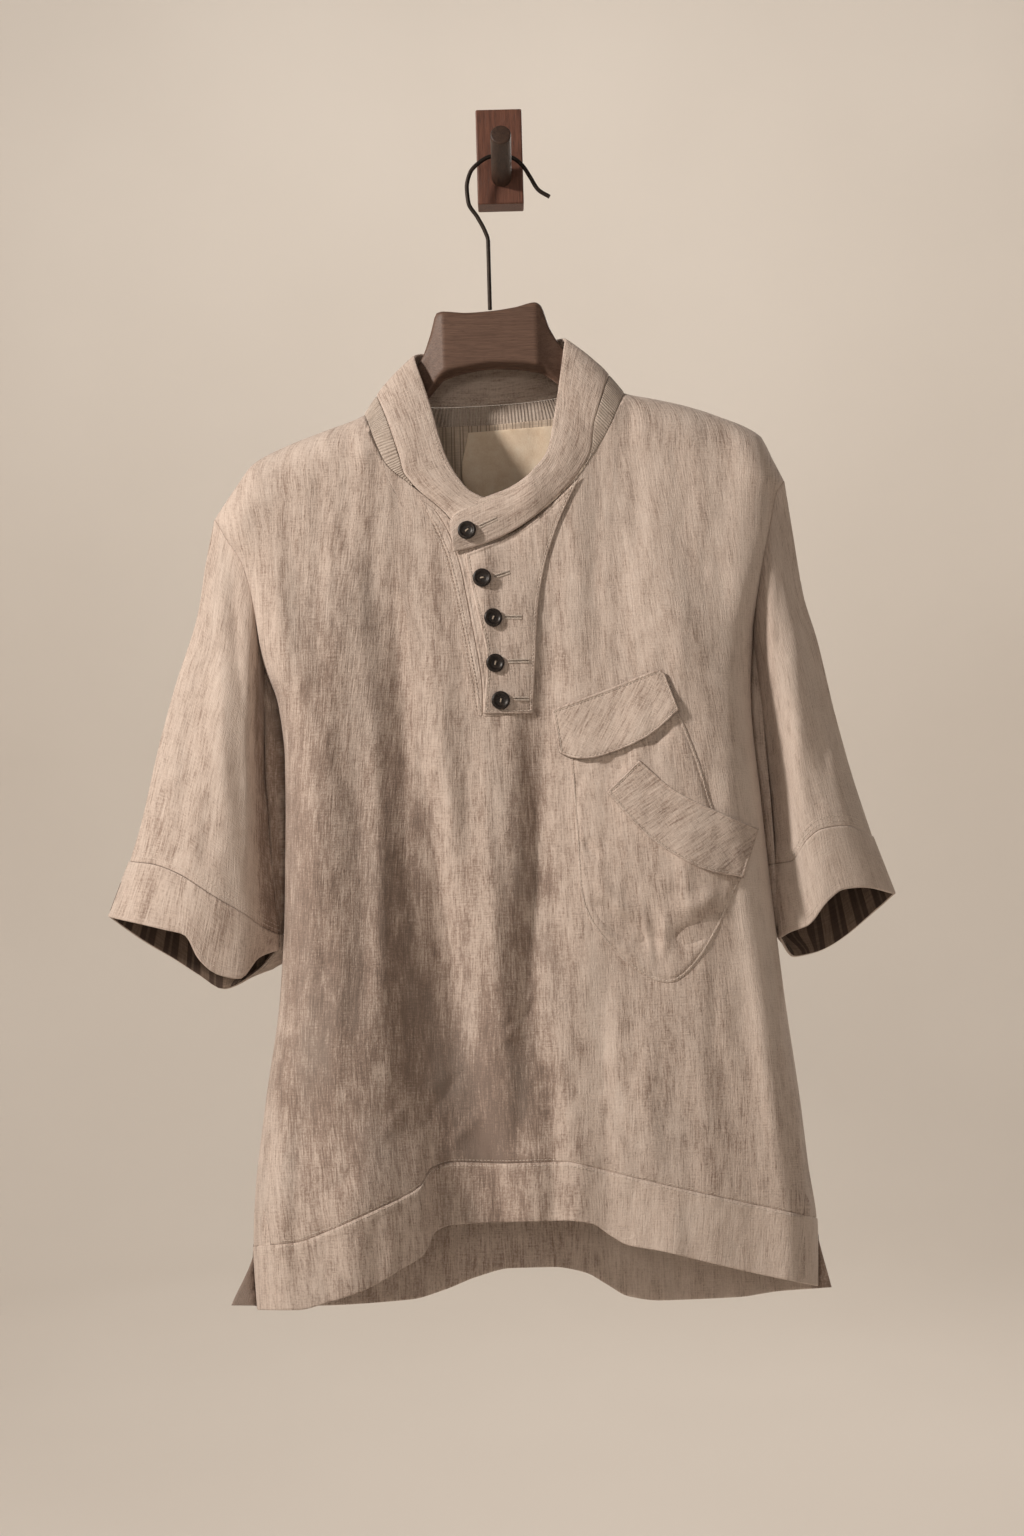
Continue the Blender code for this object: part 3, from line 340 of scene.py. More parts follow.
def folds(rows, u, v):
    """How far these folds lift the cloth at (u, v)."""
    total = 0.0
    for fold in rows:
        down = (v - fold.top_v) / (fold.low_v - fold.top_v)
        off = u - (fold.top_u + (fold.low_u - fold.top_u) * down)
        across = off / np.where(off < 0, fold.left, fold.right)
        ends = ramp(down / FOLD_GROWS) * ramp((1 - down) / FOLD_ENDS)
        total = total + fold.rise * ends * hill(across)
    return total


def hem_step(u, v):
    """How far the hem's left part stands in front of the rest."""
    step = HEM_STEP
    down = (v - step.start_v) / (step.full_v - step.start_v)
    return step.rise * ramp((step.at_u + step.width / 2 - u) / step.width) * ramp(down)


BULGE_FULLNESS = 0.8  # below 1, a half circle's rise is blunter


def armhole_bulge(side, v):
    """How far the armhole seam stands away from SIDE_DEPTH, to the front and to the back."""
    top, bottom = SHOULDER_POINT[side][1], UNDERARM[side][1]
    down = np.clip((v - top) / (bottom - top), 0, 1)
    return ARMHOLE_BULGE * np.sin(math.pi * down) ** BULGE_FULLNESS


def shoulder_line(u):
    """v of the shoulders, and of the ridge across the collar between them."""
    return through(LEFT_SHOULDER + RIDGE + RIGHT_SHOULDER, u)


def top_edge(neck, u):
    """v of a panel's top: the shoulder line and, between its two ends, the neck seam."""
    in_neck = (u > neck[0][0]) & (u < neck[-1][0])
    return np.where(in_neck, through(neck, u), shoulder_line(u))


def edge_rise(u, v):
    """How much of its full depth the cloth has near its side seams and its shoulder line."""
    left = rounding((u - through(LEFT_SIDE, v)) / ROLL)
    right = rounding((through(RIGHT_SIDE, v) - u) / ROLL)
    return left * right * rounding((shoulder_line(u) - v) / SHOULDER_ROLL)


def seam_depth(u, v, towards):
    """The depth of the side seam, armhole and shoulder line nearest to (u, v)."""
    bulge = np.where(u < 0, armhole_bulge("left", v), armhole_bulge("right", v))
    below_shoulders = ramp((SHOULDERS_LOW - v) / SHOULDERS_FADE)
    ridge = ARM_DEPTH + (SIDE_DEPTH - ARM_DEPTH) * below_shoulders
    near_side = ramp((np.abs(u) - SIDES_FROM) / SIDES_FADE)
    return ridge + towards * bulge * near_side


def front_depth(u, v):
    """y of the front's form, without its creases."""
    full = through(FRONT_DEPTHS, v) - folds(FRONT_FOLDS, u, v) - hem_step(u, v)
    seam = seam_depth(u, v, -1)
    return seam + (full - seam) * edge_rise(u, v)


def back_depth(u, v):
    """y of the back's form, without its creases."""
    full = BACK_DEPTH - folds(BACK_FOLDS, u, v)
    seam = seam_depth(u, v, 1)
    return seam + (full - seam) * edge_rise(u, v)


def trace(rows, steps=3):
    """A closed outline through the rows of a table, broken where a third column says "corner"."""
    outline = []
    for i in range(len(rows)):
        previous, start, end, following = (rows[(i + k) % len(rows)] for k in (-1, 0, 1, 2))
        a, b = np.array(start[:2], float), np.array(end[:2], float)
        straight = b - a
        leave = straight if len(start) == 3 else (b - np.array(previous[:2])) / 2
        arrive = straight if len(end) == 3 else (np.array(following[:2]) - a) / 2
        pieces = 1 if len(start) == len(end) == 3 else steps
        for q in np.arange(pieces) / pieces:
            outline.append(
                a * (1 + 2 * q) * (1 - q) ** 2 + leave * q * (1 - q) ** 2
                + b * q * q * (3 - 2 * q) + arrive * q * q * (q - 1)
            )
    return np.array(outline)


# ---------------------------------------------------------------------------------------------
# The finer creases, ripples and puckers that lie on the forms.
# ---------------------------------------------------------------------------------------------

# Creases from top to bottom, drawn. bend carries the middle to the right, rise is towards the
# viewer, left and right are how far the crease reaches to each side.
Crease = namedtuple("Crease", "top_u top_v low_u low_v bend rise left right")
FRONT_CREASES = table(
    Crease,
    (-96, -330, 44, -1180, -12, -13.0, 34, 10), (-98, -300, -90, -700, 3, -5.0, 20, 11),
    (36, -300, -34, -1130, 0, -6.0, 18, 15), (-156, -420, -146, -960, 5, 3.5, 20, 26),
    (-134, -330, -126, -860, 2, -4.0, 15, 10), (-116, -380, -108, -700, 1, 2.6, 8, 10),
    (18, -720, 20, -1240, 0, -10.0, 52, 12), (20, -560, 44, -1060, 4, 3.6, 16, 18),
    (60, -640, 74, -960, -4, -4.0, 22, 18), (-176, -520, -186, -1000, -3, -3.4, 9, 12),
    (120, -300, 150, -560, 5, 3.0, 26, 22), (168, -420, 176, -900, 4, -3.0, 18, 16),
    (-100, -350, -80, -560, 4, -3.0, 13, 16), (-128, -300, -108, -520, -3, 2.2, 16, 14),
    (-62, -400, -54, -640, 3, 2.4, 12, 10), (-40, -395, -32, -600, -2, -2.6, 9, 12),
    (-150, -330, -162, -560, 5, -1.6, 12, 14), (-165, -520, -172, -800, -4, 1.8, 13, 10),
    (-140, -600, -150, -880, 6, -1.8, 10, 13), (-118, -640, -104, -850, 4, 1.6, 10, 12),
    (-95, -700, -60, -830, -4, -1.3, 7, 9), (-60, -560, -44, -800, 5, 1.5, 9, 9),
    (-24, -480, -10, -700, 2, -2.0, 8, 9), (2, -470, 8, -640, -2, 1.6, 7, 8),
    (30, -330, 26, -470, 3, -1.8, 7, 12), (52, -300, 60, -430, 2, 1.2, 10, 10),
    (20, -600, 34, -810, -3, 1.5, 10, 10), (58, -660, 66, -850, 3, -1.3, 9, 9),
    (96, -700, 110, -860, -3, 1.5, 11, 9), (150, -690, 168, -870, 4, -1.6, 11, 9),
    (188, -620, 204, -850, -3, 1.4, 8, 8), (160, -300, 168, -470, 4, -1.6, 12, 12),
    (120, -260, 112, -400, -3, 1.3, 12, 12), (184, -420, 180, -540, 2, 1.2, 9, 7),
    (19, -683, -23, -719, 2, -1.7, 4, 5), (6, -690, -36, -742, 3, 1.5, 5, 4),
    (-42, -740, -92, -800, -3, -1.7, 5, 6), (-30, -770, -70, -812, 2, 1.3, 4, 5),
    (-128, -812, -172, -846, 3, -1.6, 5, 7), (-84, -760, -120, -806, -2, 1.3, 6, 5),
    (60, -775, 92, -815, 2, -1.2, 5, 5), (-176, -430, -150, -470, 2, -1.6, 5, 7),
    (-168, -640, -140, -668, -2, -1.3, 4, 6), (-156, -760, -128, -780, 2, 1.1, 4, 4),
)
# Short gathers along the shoulder seams beside the collar, and drags from the armholes.
SHOULDER_CREASES = table(
    Crease,
    (-132, -214, -128, -262, 2, -1.3, 3.4, 4), (-122, -212, -116, -270, 2, 1.1, 3.2, 4),
    (-114, -214, -104, -268, 3, -1.2, 3, 4), (-145, -222, -143, -262, 0, 0.8, 4, 5),
    (102, -204, 98, -256, -2, -1.1, 4, 3), (112, -206, 110, -262, -2, 1.0, 4, 4),
    (126, -210, 126, -262, 0, -0.8, 4, 4), (-206, -268, -188, -380, -6, -2.2, 8, 10),
    (196, -256, 184, -360, 5, -2.0, 9, 8), (-192, -300, -176, -430, -5, 1.6, 8, 8),
)
BACK_CREASES = table(
    Crease,
    (-120, -300, -104, -560, 5, -2.2, 18, 16), (-60, -260, -50, -480, -3, 1.8, 16, 16),
    (10, -300, 4, -620, 4, -2.0, 16, 18), (70, -280, 84, -520, -4, 1.8, 14, 16),
    (128, -320, 140, -620, 4, -2.0, 16, 14), (-150, -520, -168, -860, -5, 1.8, 13, 14),
    (-96, -620, -90, -870, 4, -1.6, 12, 12), (-30, -600, -40, -880, -3, 1.6, 12, 13),
    (46, -640, 60, -880, 3, -1.7, 12, 12), (112, -600, 128, -870, -4, 1.6, 12, 12),
    (176, -560, 196, -860, 4, -1.6, 10, 11), (-20, -700, -62, -742, 3, 0.8, 5, 6),
    (84, -720, 120, -760, -3, -0.8, 6, 6), (-160, -420, -132, -462, 2, -0.9, 6, 7),
    (168, -410, 148, -452, 2, -0.9, 6, 6),
)
# Around the patch pocket the bag's own weight folds it, and its mouth stands open.
BAG_CREASES = table(
    Crease,
    (52, -604, 114, -652, -4, -7.0, 8, 7), (56, -584, 100, -632, -5, 2.6, 9, 7),
    (178, -622, 112, -650, 0, -6.5, 7, 9), (166, -602, 120, -624, 4, 3.0, 7, 7),
    (103, -606, 110, -676, 1, -1.8, 4, 4), (96, -606, 107, -674, 1, 1.6, 4, 4),
    (118, -612, 114, -672, -1, 2.0, 3, 4), (52, -560, 66, -582, 0, -2.6, 4, 5),
    (56, -506, 44, -540, -3, -2.2, 3, 5), (64, -502, 92, -510, 2, -3.0, 4, 4),
    (104, -488, 128, -474, 0, -2.8, 5, 5), (88, -560, 84, -600, 2, 1.2, 8, 9),
    (140, -560, 132, -606, -2, 1.0, 8, 8), (76, -610, 70, -640, 2, 0.8, 4, 5),
)
SLEEVE_CREASES = {
    "left": table(
        Crease,
        (-222, -320, -210, -500, -4, -3.6, 6, 7), (-236, -360, -236, -560, 3, 2.4, 8, 9),
        (-217, -400, -217, -600, 2, 3.2, 6, 5), (-252, -420, -268, -560, -3, -3.0, 7, 9),
        (-272, -470, -288, -580, 2, 1.5, 7, 8), (-203, -370, -204, -690, 0, -5.0, 6, 8),
        (-240, -500, -254, -600, -2, -1.2, 5, 6), (-206, -560, -222, -612, 2, -1.4, 4, 6),
        (-262, -380, -250, -430, 0, 0.8, 6, 6), (-232, -300, -240, -350, 1, -1.2, 4, 5),
    ),
    "right": table(
        Crease,
        (213, -330, 209, -450, 3, -1.6, 6, 6), (228, -350, 230, -560, -2, 3.4, 10, 9),
        (240, -380, 250, -560, 2, -1.8, 6, 6), (216, -440, 216, -580, 1, -2.4, 5, 6),
        (248, -440, 262, -550, -2, 1.6, 6, 7), (204, -420, 204, -640, 1, -6.0, 8, 8),
        (230, -500, 240, -560, 2, -1.2, 5, 5), (262, -500, 270, -556, 1, -0.9, 5, 5),
    ),
}


CREASE_ENDS = 0.4  # share of a crease's length over which it grows, and fades again
CREASE_CREST = 1.7  # under 2, its crest is sharper than a plain hill


def creases(rows, u, v):
    """How far these creases lift the cloth at (u, v), with soft ends."""
    total = 0.0
    for crease in rows:
        run = np.array((crease.low_u - crease.top_u, crease.low_v - crease.top_v), float)
        length = np.hypot(*run)
        run /= length
        off_u, off_v = u - crease.top_u, v - crease.top_v
        along = (off_u * run[0] + off_v * run[1]) / length
        across = off_u * -run[1] + off_v * run[0] - crease.bend * 4 * along * (1 - along)
        across = across / np.where(across < 0, crease.left, crease.right)
        ends = ramp(along / CREASE_ENDS) * ramp((1 - along) / CREASE_ENDS)
        total = total + crease.rise * ends * np.exp(-np.abs(across) ** CREASE_CREST)
    return total


NOISE_CELLS = 97  # noise repeats after so many


def noise(u, v, cell_u, cell_v, seed):
    """Smooth noise from -1 to 1 with cells of that size, the same on each run."""
    values = np.random.default_rng(seed).uniform(-1, 1, (NOISE_CELLS, NOISE_CELLS))
    x, y = np.asarray(u) / cell_u, np.asarray(v) / cell_v
    i, j = np.floor(x).astype(int), np.floor(y).astype(int)
    fx, fy = ramp(x - i), ramp(y - j)

    def corner(a, b):
        return values[(i + a) % NOISE_CELLS, (j + b) % NOISE_CELLS]

    low = corner(0, 0) * (1 - fx) + corner(1, 0) * fx
    high = corner(0, 1) * (1 - fx) + corner(1, 1) * fx
    return low * (1 - fy) + high * fy


# The cloth's small unevenness: long soft waves that wander, and fine crumples.
Wave = namedtuple("Wave", "height cell_u cell_v wanders")
RUMPLES = table(Wave, (1.7, 24, 130, True), (0.85, 11, 60, True), (0.26, 5, 16, False), (0.2, 9, 7, False))
WANDER = Wave(5, 60, 90, False)


def rumple(u, v, seed):
    """How far the small unevenness lifts the cloth at (u, v)."""
    bent = u + WANDER.height * noise(u, v, WANDER.cell_u, WANDER.cell_v, seed + 1)
    return sum(
        wave.height * noise(bent if wave.wanders else u, v, wave.cell_u, wave.cell_v, seed + number)
        for number, wave in enumerate(RUMPLES, 2)
    )


def near_edge(distance, reach):
    """1 at an edge, falling to 0 at that distance from it."""
    return 1 - ramp(distance / reach)


SIDE_FADE, SHOULDER_FADE, GATHERS_FADE = 14, 12, 5
REAR_SHARE = 0.8  # creases are this much shallower behind


def fade(u, v):
    """0 on the side seams and the shoulder line, where pieces meet, and 1 inside them."""
    left = ramp((u - through(LEFT_SIDE, v)) / SIDE_FADE)
    right = ramp((through(RIGHT_SIDE, v) - u) / SIDE_FADE)
    return left * right * ramp((shoulder_line(u) - v) / SHOULDER_FADE)


def line_distance(u, v, route, closed=False):
    """How far (u, v) lies from a drawn route through (u, v) rows."""
    route = np.asarray(route, float)
    if closed:
        route = np.concatenate((route, route[:1]))
    best = np.full(np.shape(u), 1e9)
    for (u0, v0), (u1, v1) in zip(route, route[1:]):
        du, dv = u1 - u0, v1 - v0
        q = np.clip(((u - u0) * du + (v - v0) * dv) / (du * du + dv * dv + 1e-9), 0, 1)
        best = np.minimum(best, np.hypot(u - u0 - q * du, v - v0 - q * dv))
    return best


def hem_seam_pucker(u, v, seam_v):
    """The stitched seam over the hem pulls in, unevenly, and the cloth above it swells a little."""
    off = v - seam_v
    pull = (0.9 + 0.5 * noise(u, 0 * u, 9, 9, 71)) * hill(off / 2.2)
    swell = 0.9 * hill((off + 2.9) / 1.9)
    ripple = 0.35 * noise(u, off, 6, 30, 72) * hill(off / 14)
    return swell - pull + ripple


def front_surface(u, v):
    """The depth of the front's cloth with all its creases."""
    detail = creases(FRONT_CREASES, u, v) + rumple(u, v, 10)
    gathers = creases(SHOULDER_CREASES, u, v) * ramp((shoulder_line(u) - v) / GATHERS_FADE)
    pucker = hem_seam_pucker(u, v, through(FRONT_HEM_SEAM, u))
    return front_depth(u, v) - detail * fade(u, v) - gathers - pucker * fade(u, v)


def back_surface(u, v):
    """The depth of the back's cloth with all its creases, which lift it away from the wall."""
    detail = creases(BACK_CREASES, u, v) + rumple(u, v, 40)
    return back_depth(u, v) - REAR_SHARE * detail * fade(u, v)


# ---------------------------------------------------------------------------------------------
# Mesh building.
# ---------------------------------------------------------------------------------------------

CLOTH = 1.2  # thickness of the cloth
GAP = 0.2  # between two layers, and where two pieces meet
MARGINS = (0.08, 0.3, 0.7)  # extra lines near a rounded edge, by the cloth's thickness
EDGE_ROUND = 0.7  # how far in from the edge the rounding reaches, by the cloth's thickness


def finer(values, longest):
    """The values with more between them, so that no step is longer than that."""
    fine = [values[0]]
    for a, b in zip(values, values[1:]):
        pieces = max(1, math.ceil((b - a) / longest - 1e-9))
        fine += [a + (b - a) * k / pieces for k in range(1, pieces + 1)]
    return np.array(fine, float)


def linked(name, data):
    """A new object in the scene."""
    obj = bpy.data.objects.new(name, data)
    bpy.context.scene.collection.objects.link(obj)
    return obj


def stated(obj, node=None):
    """Attaches an object to the root body, and hides the solid of its node."""
    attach(obj, "root")
    if node:
        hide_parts(node)
    return obj


def made(name, points, faces, uv, material, node=None):
    """A smooth object from points, faces and each face corner's place in the cloth, in metres."""
    mesh = bpy.data.meshes.new(name)
    mesh.from_pydata(points.tolist(), [], faces)
    if uv is not None:
        layer = mesh.uv_layers.new(name="UVMap")
        layer.data.foreach_set("uv", np.asarray(uv, np.float32).ravel())
    mesh.shade_smooth()
    mesh.materials.append(material)
    return stated(linked(name, mesh), node)


def with_margins(grid, thickness):
    """A grid with extra rows close behind its first and its last row."""
    def near(row, inner):
        length = np.linalg.norm((inner - row)[..., :3], axis=-1).mean() / MM
        return [row + (inner - row) * min(0.9, share * thickness / length) for share in MARGINS]

    first, last = near(grid[0], grid[1]), near(grid[-1], grid[-2])
    return np.concatenate((grid[:1], first, grid[1:-1], last[::-1], grid[-1:]))


def normals_of(points, closed):
    """Unit normals of a grid: columns crossed with rows."""
    round_it = np.roll(points, -1, 1) - np.roll(points, 1, 1)
    across = round_it if closed else np.gradient(points, axis=1)
    normal = np.cross(across, np.gradient(points, axis=0))
    return normal / np.maximum(np.linalg.norm(normal, axis=-1, keepdims=True), 1e-12)


def edge_distance(points, closed):
    """How far each point of a grid lies from its open edges, along the cloth."""
    nearest = np.full(points.shape[:2], 1e9)
    for axis in (0,) if closed else (0, 1):
        step = np.linalg.norm(np.diff(points, axis=axis), axis=-1)
        reach = np.cumsum(step, axis)
        zero = np.zeros_like(np.take(reach, [0], axis))
        reach = np.concatenate((zero, reach), axis)
        nearest = np.minimum(nearest, np.minimum(reach, np.take(reach, [-1], axis) - reach))
    return nearest


def shell(name, points, uv, material, slot, node=None, thickness=CLOTH, closed=False, shift=0.0):
    """A closed wall of cloth with rounded edges about a grid of points. Its outer side is where
    the columns crossed with the rows point. shift moves it that way. A closed one's uv has one
    column more than its points."""
    grid = np.concatenate((points, uv[:, : points.shape[1]]), -1)
    seam = uv[:, -1:]
    grid = with_margins(grid, thickness)
    if closed:
        seam = with_margins(np.concatenate((points[:, :1], seam), -1), thickness)[..., 3:]
    else:
        grid = with_margins(grid.swapaxes(0, 1), thickness).swapaxes(0, 1)
    points, uv = grid[..., :3], grid[..., 3:]
    if closed:
        uv = np.concatenate((uv, seam), 1)
    normal = normals_of(points, closed)
    from_edge = edge_distance(points, closed) / (EDGE_ROUND * thickness * MM)
    half = thickness * MM / 2 * rounding(from_edge)[..., None]
    middle = points + normal * shift * MM
    rows, columns = points.shape[:2]
    outer = np.arange(rows * columns).reshape(rows, columns)
    on_edge = half[..., 0] <= 0
    inner = np.where(on_edge, outer, 0)
    inner[~on_edge] = rows * columns + np.arange((~on_edge).sum())
    verts = np.concatenate(((middle + normal * half).reshape(-1, 3), (middle - normal * half)[~on_edge]))
    last = columns if closed else columns - 1
    i, j = np.meshgrid(np.arange(rows - 1), np.arange(last), indexing="ij")
    k = (j + 1) % columns
    corners = ((i, j, j), (i, k, j + 1), (i + 1, k, j + 1), (i + 1, j, j))
    faces, places = [], []
    for index, order in ((outer, (0, 1, 2, 3)), (inner, (3, 2, 1, 0))):
        faces.append(np.stack([index[corners[c][0], corners[c][1]] for c in order], -1).reshape(-1, 4))
        places.append(np.stack([uv[corners[c][0], corners[c][2]] for c in order], -2).reshape(-1, 2))
    faces = np.concatenate(faces).tolist()
    return made(name, verts, faces, np.concatenate(places), material, node)


def lengths_along(route):
    """How far along a route each of its points lies."""
    return np.concatenate(([0], np.cumsum(np.linalg.norm(np.diff(route, axis=0), axis=1))))


def points_at(at, reach, route):
    """A route's points at some lengths, where reach is its own points' lengths."""
    return np.stack([np.interp(at, reach, column) for column in route.T], -1)


def resampled(route, spacing, closed=False):
    """Points along a route, evenly spaced at about that distance."""
    route = np.asarray(route, float)
    if closed:
        route = np.concatenate((route, route[:1]))
    reach = lengths_along(route)
    count = max(2, round(reach[-1] / spacing) + 1)
    points = points_at(np.linspace(0, reach[-1], count), reach, route)
    return points[:-1] if closed else points


def inside(outline, u, v):
    """Whether each (u, v) lies inside a closed outline."""
    found = np.zeros(np.shape(u), bool)
    for (u0, v0), (u1, v1) in zip(outline, np.roll(outline, -1, 0)):
        if v0 != v1:
            crosses = (v0 > v) != (v1 > v)
            found ^= crosses & (u < (u1 - u0) * (v - v0) / (v1 - v0) + u0)
    return found


def inset(outline, distance):
    """A closed outline moved inwards."""
    outline = np.asarray(outline)
    along_it = np.roll(outline, -1, 0) - np.roll(outline, 1, 0)
    normal = np.stack((-along_it[:, 1], along_it[:, 0]), -1)
    normal /= np.linalg.norm(normal, axis=1, keepdims=True)
    following = np.roll(outline, -1, 0)
    area = (outline[:, 0] * following[:, 1] - following[:, 0] * outline[:, 1]).sum()
    return outline + normal * distance * np.sign(area)


OUTLINE_STEP = 1.3  # between the points of a patch's outline
EDGE_RINGS = (0.12, 0.45, 1.0)  # a patch's rings of points at its rounded edge, by its thickness
FURROW_RINGS = (2.1, 2.7, 3.3)  # and where its stitches pull a furrow
GRID_FROM = 4.1  # how far in from the edge its even grid of points begins
CLEAR_SHARE = 0.93  # ring points nearer to the outline than this share of their distance go
FURROW_DEPTH, FURROW_WIDTH = 0.5, 0.7
RIM_FROM_EDGE, RIM_WIDTH = 1.0, 0.9


def patch(
    node, table_of_outline, surface, material, slot, height=GAP, thickness=CLOTH, turn=0.0, spacing=2.3,
    rows_of_stitches=(), shape=None, soft_edge=6.0, rim=0.0,
):
    """A closed piece of cloth that lies on a surface inside a drawn outline, with rounded edges
    and shallow furrows under its rows of stitches. turn is the warp's angle from the vertical in
    degrees, rim is the height of its turned edge, and its shape grows to full over soft_edge."""
    edge = resampled(trace(table_of_outline), OUTLINE_STEP, closed=True)
    rings = [edge]
    for distance in (*(share * thickness for share in EDGE_RINGS), *FURROW_RINGS):
        ring_points = inset(edge, distance)
        clear = line_distance(*ring_points.T, edge, closed=True)
        rings.append(ring_points[(clear > CLEAR_SHARE * distance) & inside(edge, *ring_points.T)])
    low, high = edge.min(0), edge.max(0)
    u, v = (a.ravel() for a in np.meshgrid(*(np.arange(low[k], high[k], spacing) for k in (0, 1))))
    u = u + np.where(np.round((v - low[1]) / spacing) % 2 == 0, 0, spacing / 2)
    deep = inside(edge, u, v)
    u, v = u[deep], v[deep]
    deep = line_distance(u, v, edge, closed=True) > GRID_FROM
    rings.append(np.stack((u[deep], v[deep]), -1))
    flat = [Vector(point) for point in np.concatenate(rings)]
    flat, _, triangles, *_ = delaunay_2d_cdt(flat, [], [list(range(len(edge)))], 1, 1e-5)
    flat = np.array(flat)
    triangles = np.array([face for face in triangles if len(face) == 3])
    first, second, third = (flat[triangles[:, k]] for k in range(3))
    clockwise = np.cross(second - first, third - first) < 0
    triangles[clockwise] = triangles[clockwise][:, ::-1]
    u, v = flat.T
    from_edge = line_distance(u, v, edge, closed=True)
    from_edge[from_edge < 0.01] = 0
    half = thickness / 2 * rounding(from_edge / (EDGE_ROUND * thickness))
    furrow = sum((FURROW_DEPTH * hill((from_edge - row) / FURROW_WIDTH) for row in rows_of_stitches), 0.0 * u)
    turned_edge = rim * hill((from_edge - RIM_FROM_EDGE) / RIM_WIDTH)
    middle = surface(u, v) - height - thickness / 2 + furrow - turned_edge
    if shape is not None:
        middle = middle - shape(u, v) * ramp(from_edge / soft_edge + 0.01)
    front, rear = place(u, v, middle - half), place(u, v, middle + half)
    count = len(flat)
    index = np.where(from_edge > 0, count + np.cumsum(from_edge > 0) - 1, np.arange(count))
    c, s = math.cos(math.radians(turn)), math.sin(math.radians(turn))
    uv = (np.stack((u * c - v * s, u * s + v * c), -1) * MM)[triangles]
    uv = np.concatenate((uv.reshape(-1, 2), uv[:, ::-1].reshape(-1, 2)))
    points = np.concatenate((front, rear[from_edge > 0]))
    faces = np.concatenate((triangles, index[triangles][:, ::-1])).tolist()
    return made(node + "_cloth", points, faces, uv, material, node)


STITCH_LENGTH, STITCH_PITCH, THREAD_RADIUS = 2.1, 3.0, 0.3
CAPSULE_SIDES = 5
CAPSULE_RINGS = ((0, 0.35), (0.14, 1), (0.86, 1), (1, 0.35))  # place along it, share of the radius


def capsules(name, starts, ends, radius, material, slot):
    """Many short rounded threads as one object, each from a start to an end."""
    starts, ends = np.asarray(starts), np.asarray(ends)
    run = ends - starts
    run /= np.linalg.norm(run, axis=1, keepdims=True)
    aside = np.cross(run, (0.13, 0.97, 0.21))
    aside /= np.linalg.norm(aside, axis=1, keepdims=True)
    over = np.cross(run, aside)
    sides = CAPSULE_SIDES
    turn = np.arange(sides) * 2 * math.pi / sides
    round_it = aside[:, None] * np.cos(turn)[:, None] + over[:, None] * np.sin(turn)[:, None]
    rings = []
    for share, width in CAPSULE_RINGS:
        middle = starts + (ends - starts) * share
        rings.append(middle[:, None] + round_it * radius * width * MM)
    points = np.stack(rings, 1).reshape(-1, 3)
    size = sides * len(rings)
    faces = []
    for ring_number in range(len(rings) - 1):
        for k in range(sides):
            a, b = ring_number * sides + k, ring_number * sides + (k + 1) % sides
            faces.append((a, b, b + sides, a + sides))
    each = np.arange(len(starts))[:, None, None] * size
    faces = (np.array(faces)[None] + each).reshape(-1, 4).tolist()
    for first in range(0, len(starts) * size, size):
        faces.append(list(range(first + sides - 1, first - 1, -1)))
        faces.append(list(range(first + size - sides, first + size)))
    return made(name, points, faces, None, material)


def stitched(routes, pitch=STITCH_PITCH, length=STITCH_LENGTH):
    """Starts and ends of the stitches along routes of placed points."""
    starts, ends = [], []
    for route in routes:
        reach = lengths_along(route) / MM
        begin = np.arange(0.3, reach[-1] - length, pitch)
        for at, into in ((begin, starts), (begin + length, ends)):
            into.append(points_at(at, reach, route))
    return np.concatenate(starts), np.concatenate(ends)


def drawn_route(route, surface, height, spacing=1.5):
    """A drawn route placed on a surface, that height above it."""
    fine = resampled(route, spacing)
    u, v = fine.T
    return place(u, v, surface(u, v) - height)


def seam_of(outline, distance, first, last):
    """The stretch of an outline between two of its drawn points, moved inwards."""
    outline = resampled(trace(outline), OUTLINE_STEP, closed=True)
    moved = inset(outline, distance)
    near = [np.linalg.norm(outline - np.array(point), axis=1).argmin() for point in (first, last)]
    if near[1] < near[0]:
        near[1] += len(outline)
    return moved[np.arange(near[0], near[1] + 1) % len(outline)]


# ---------------------------------------------------------------------------------------------
# Materials.
# ---------------------------------------------------------------------------------------------


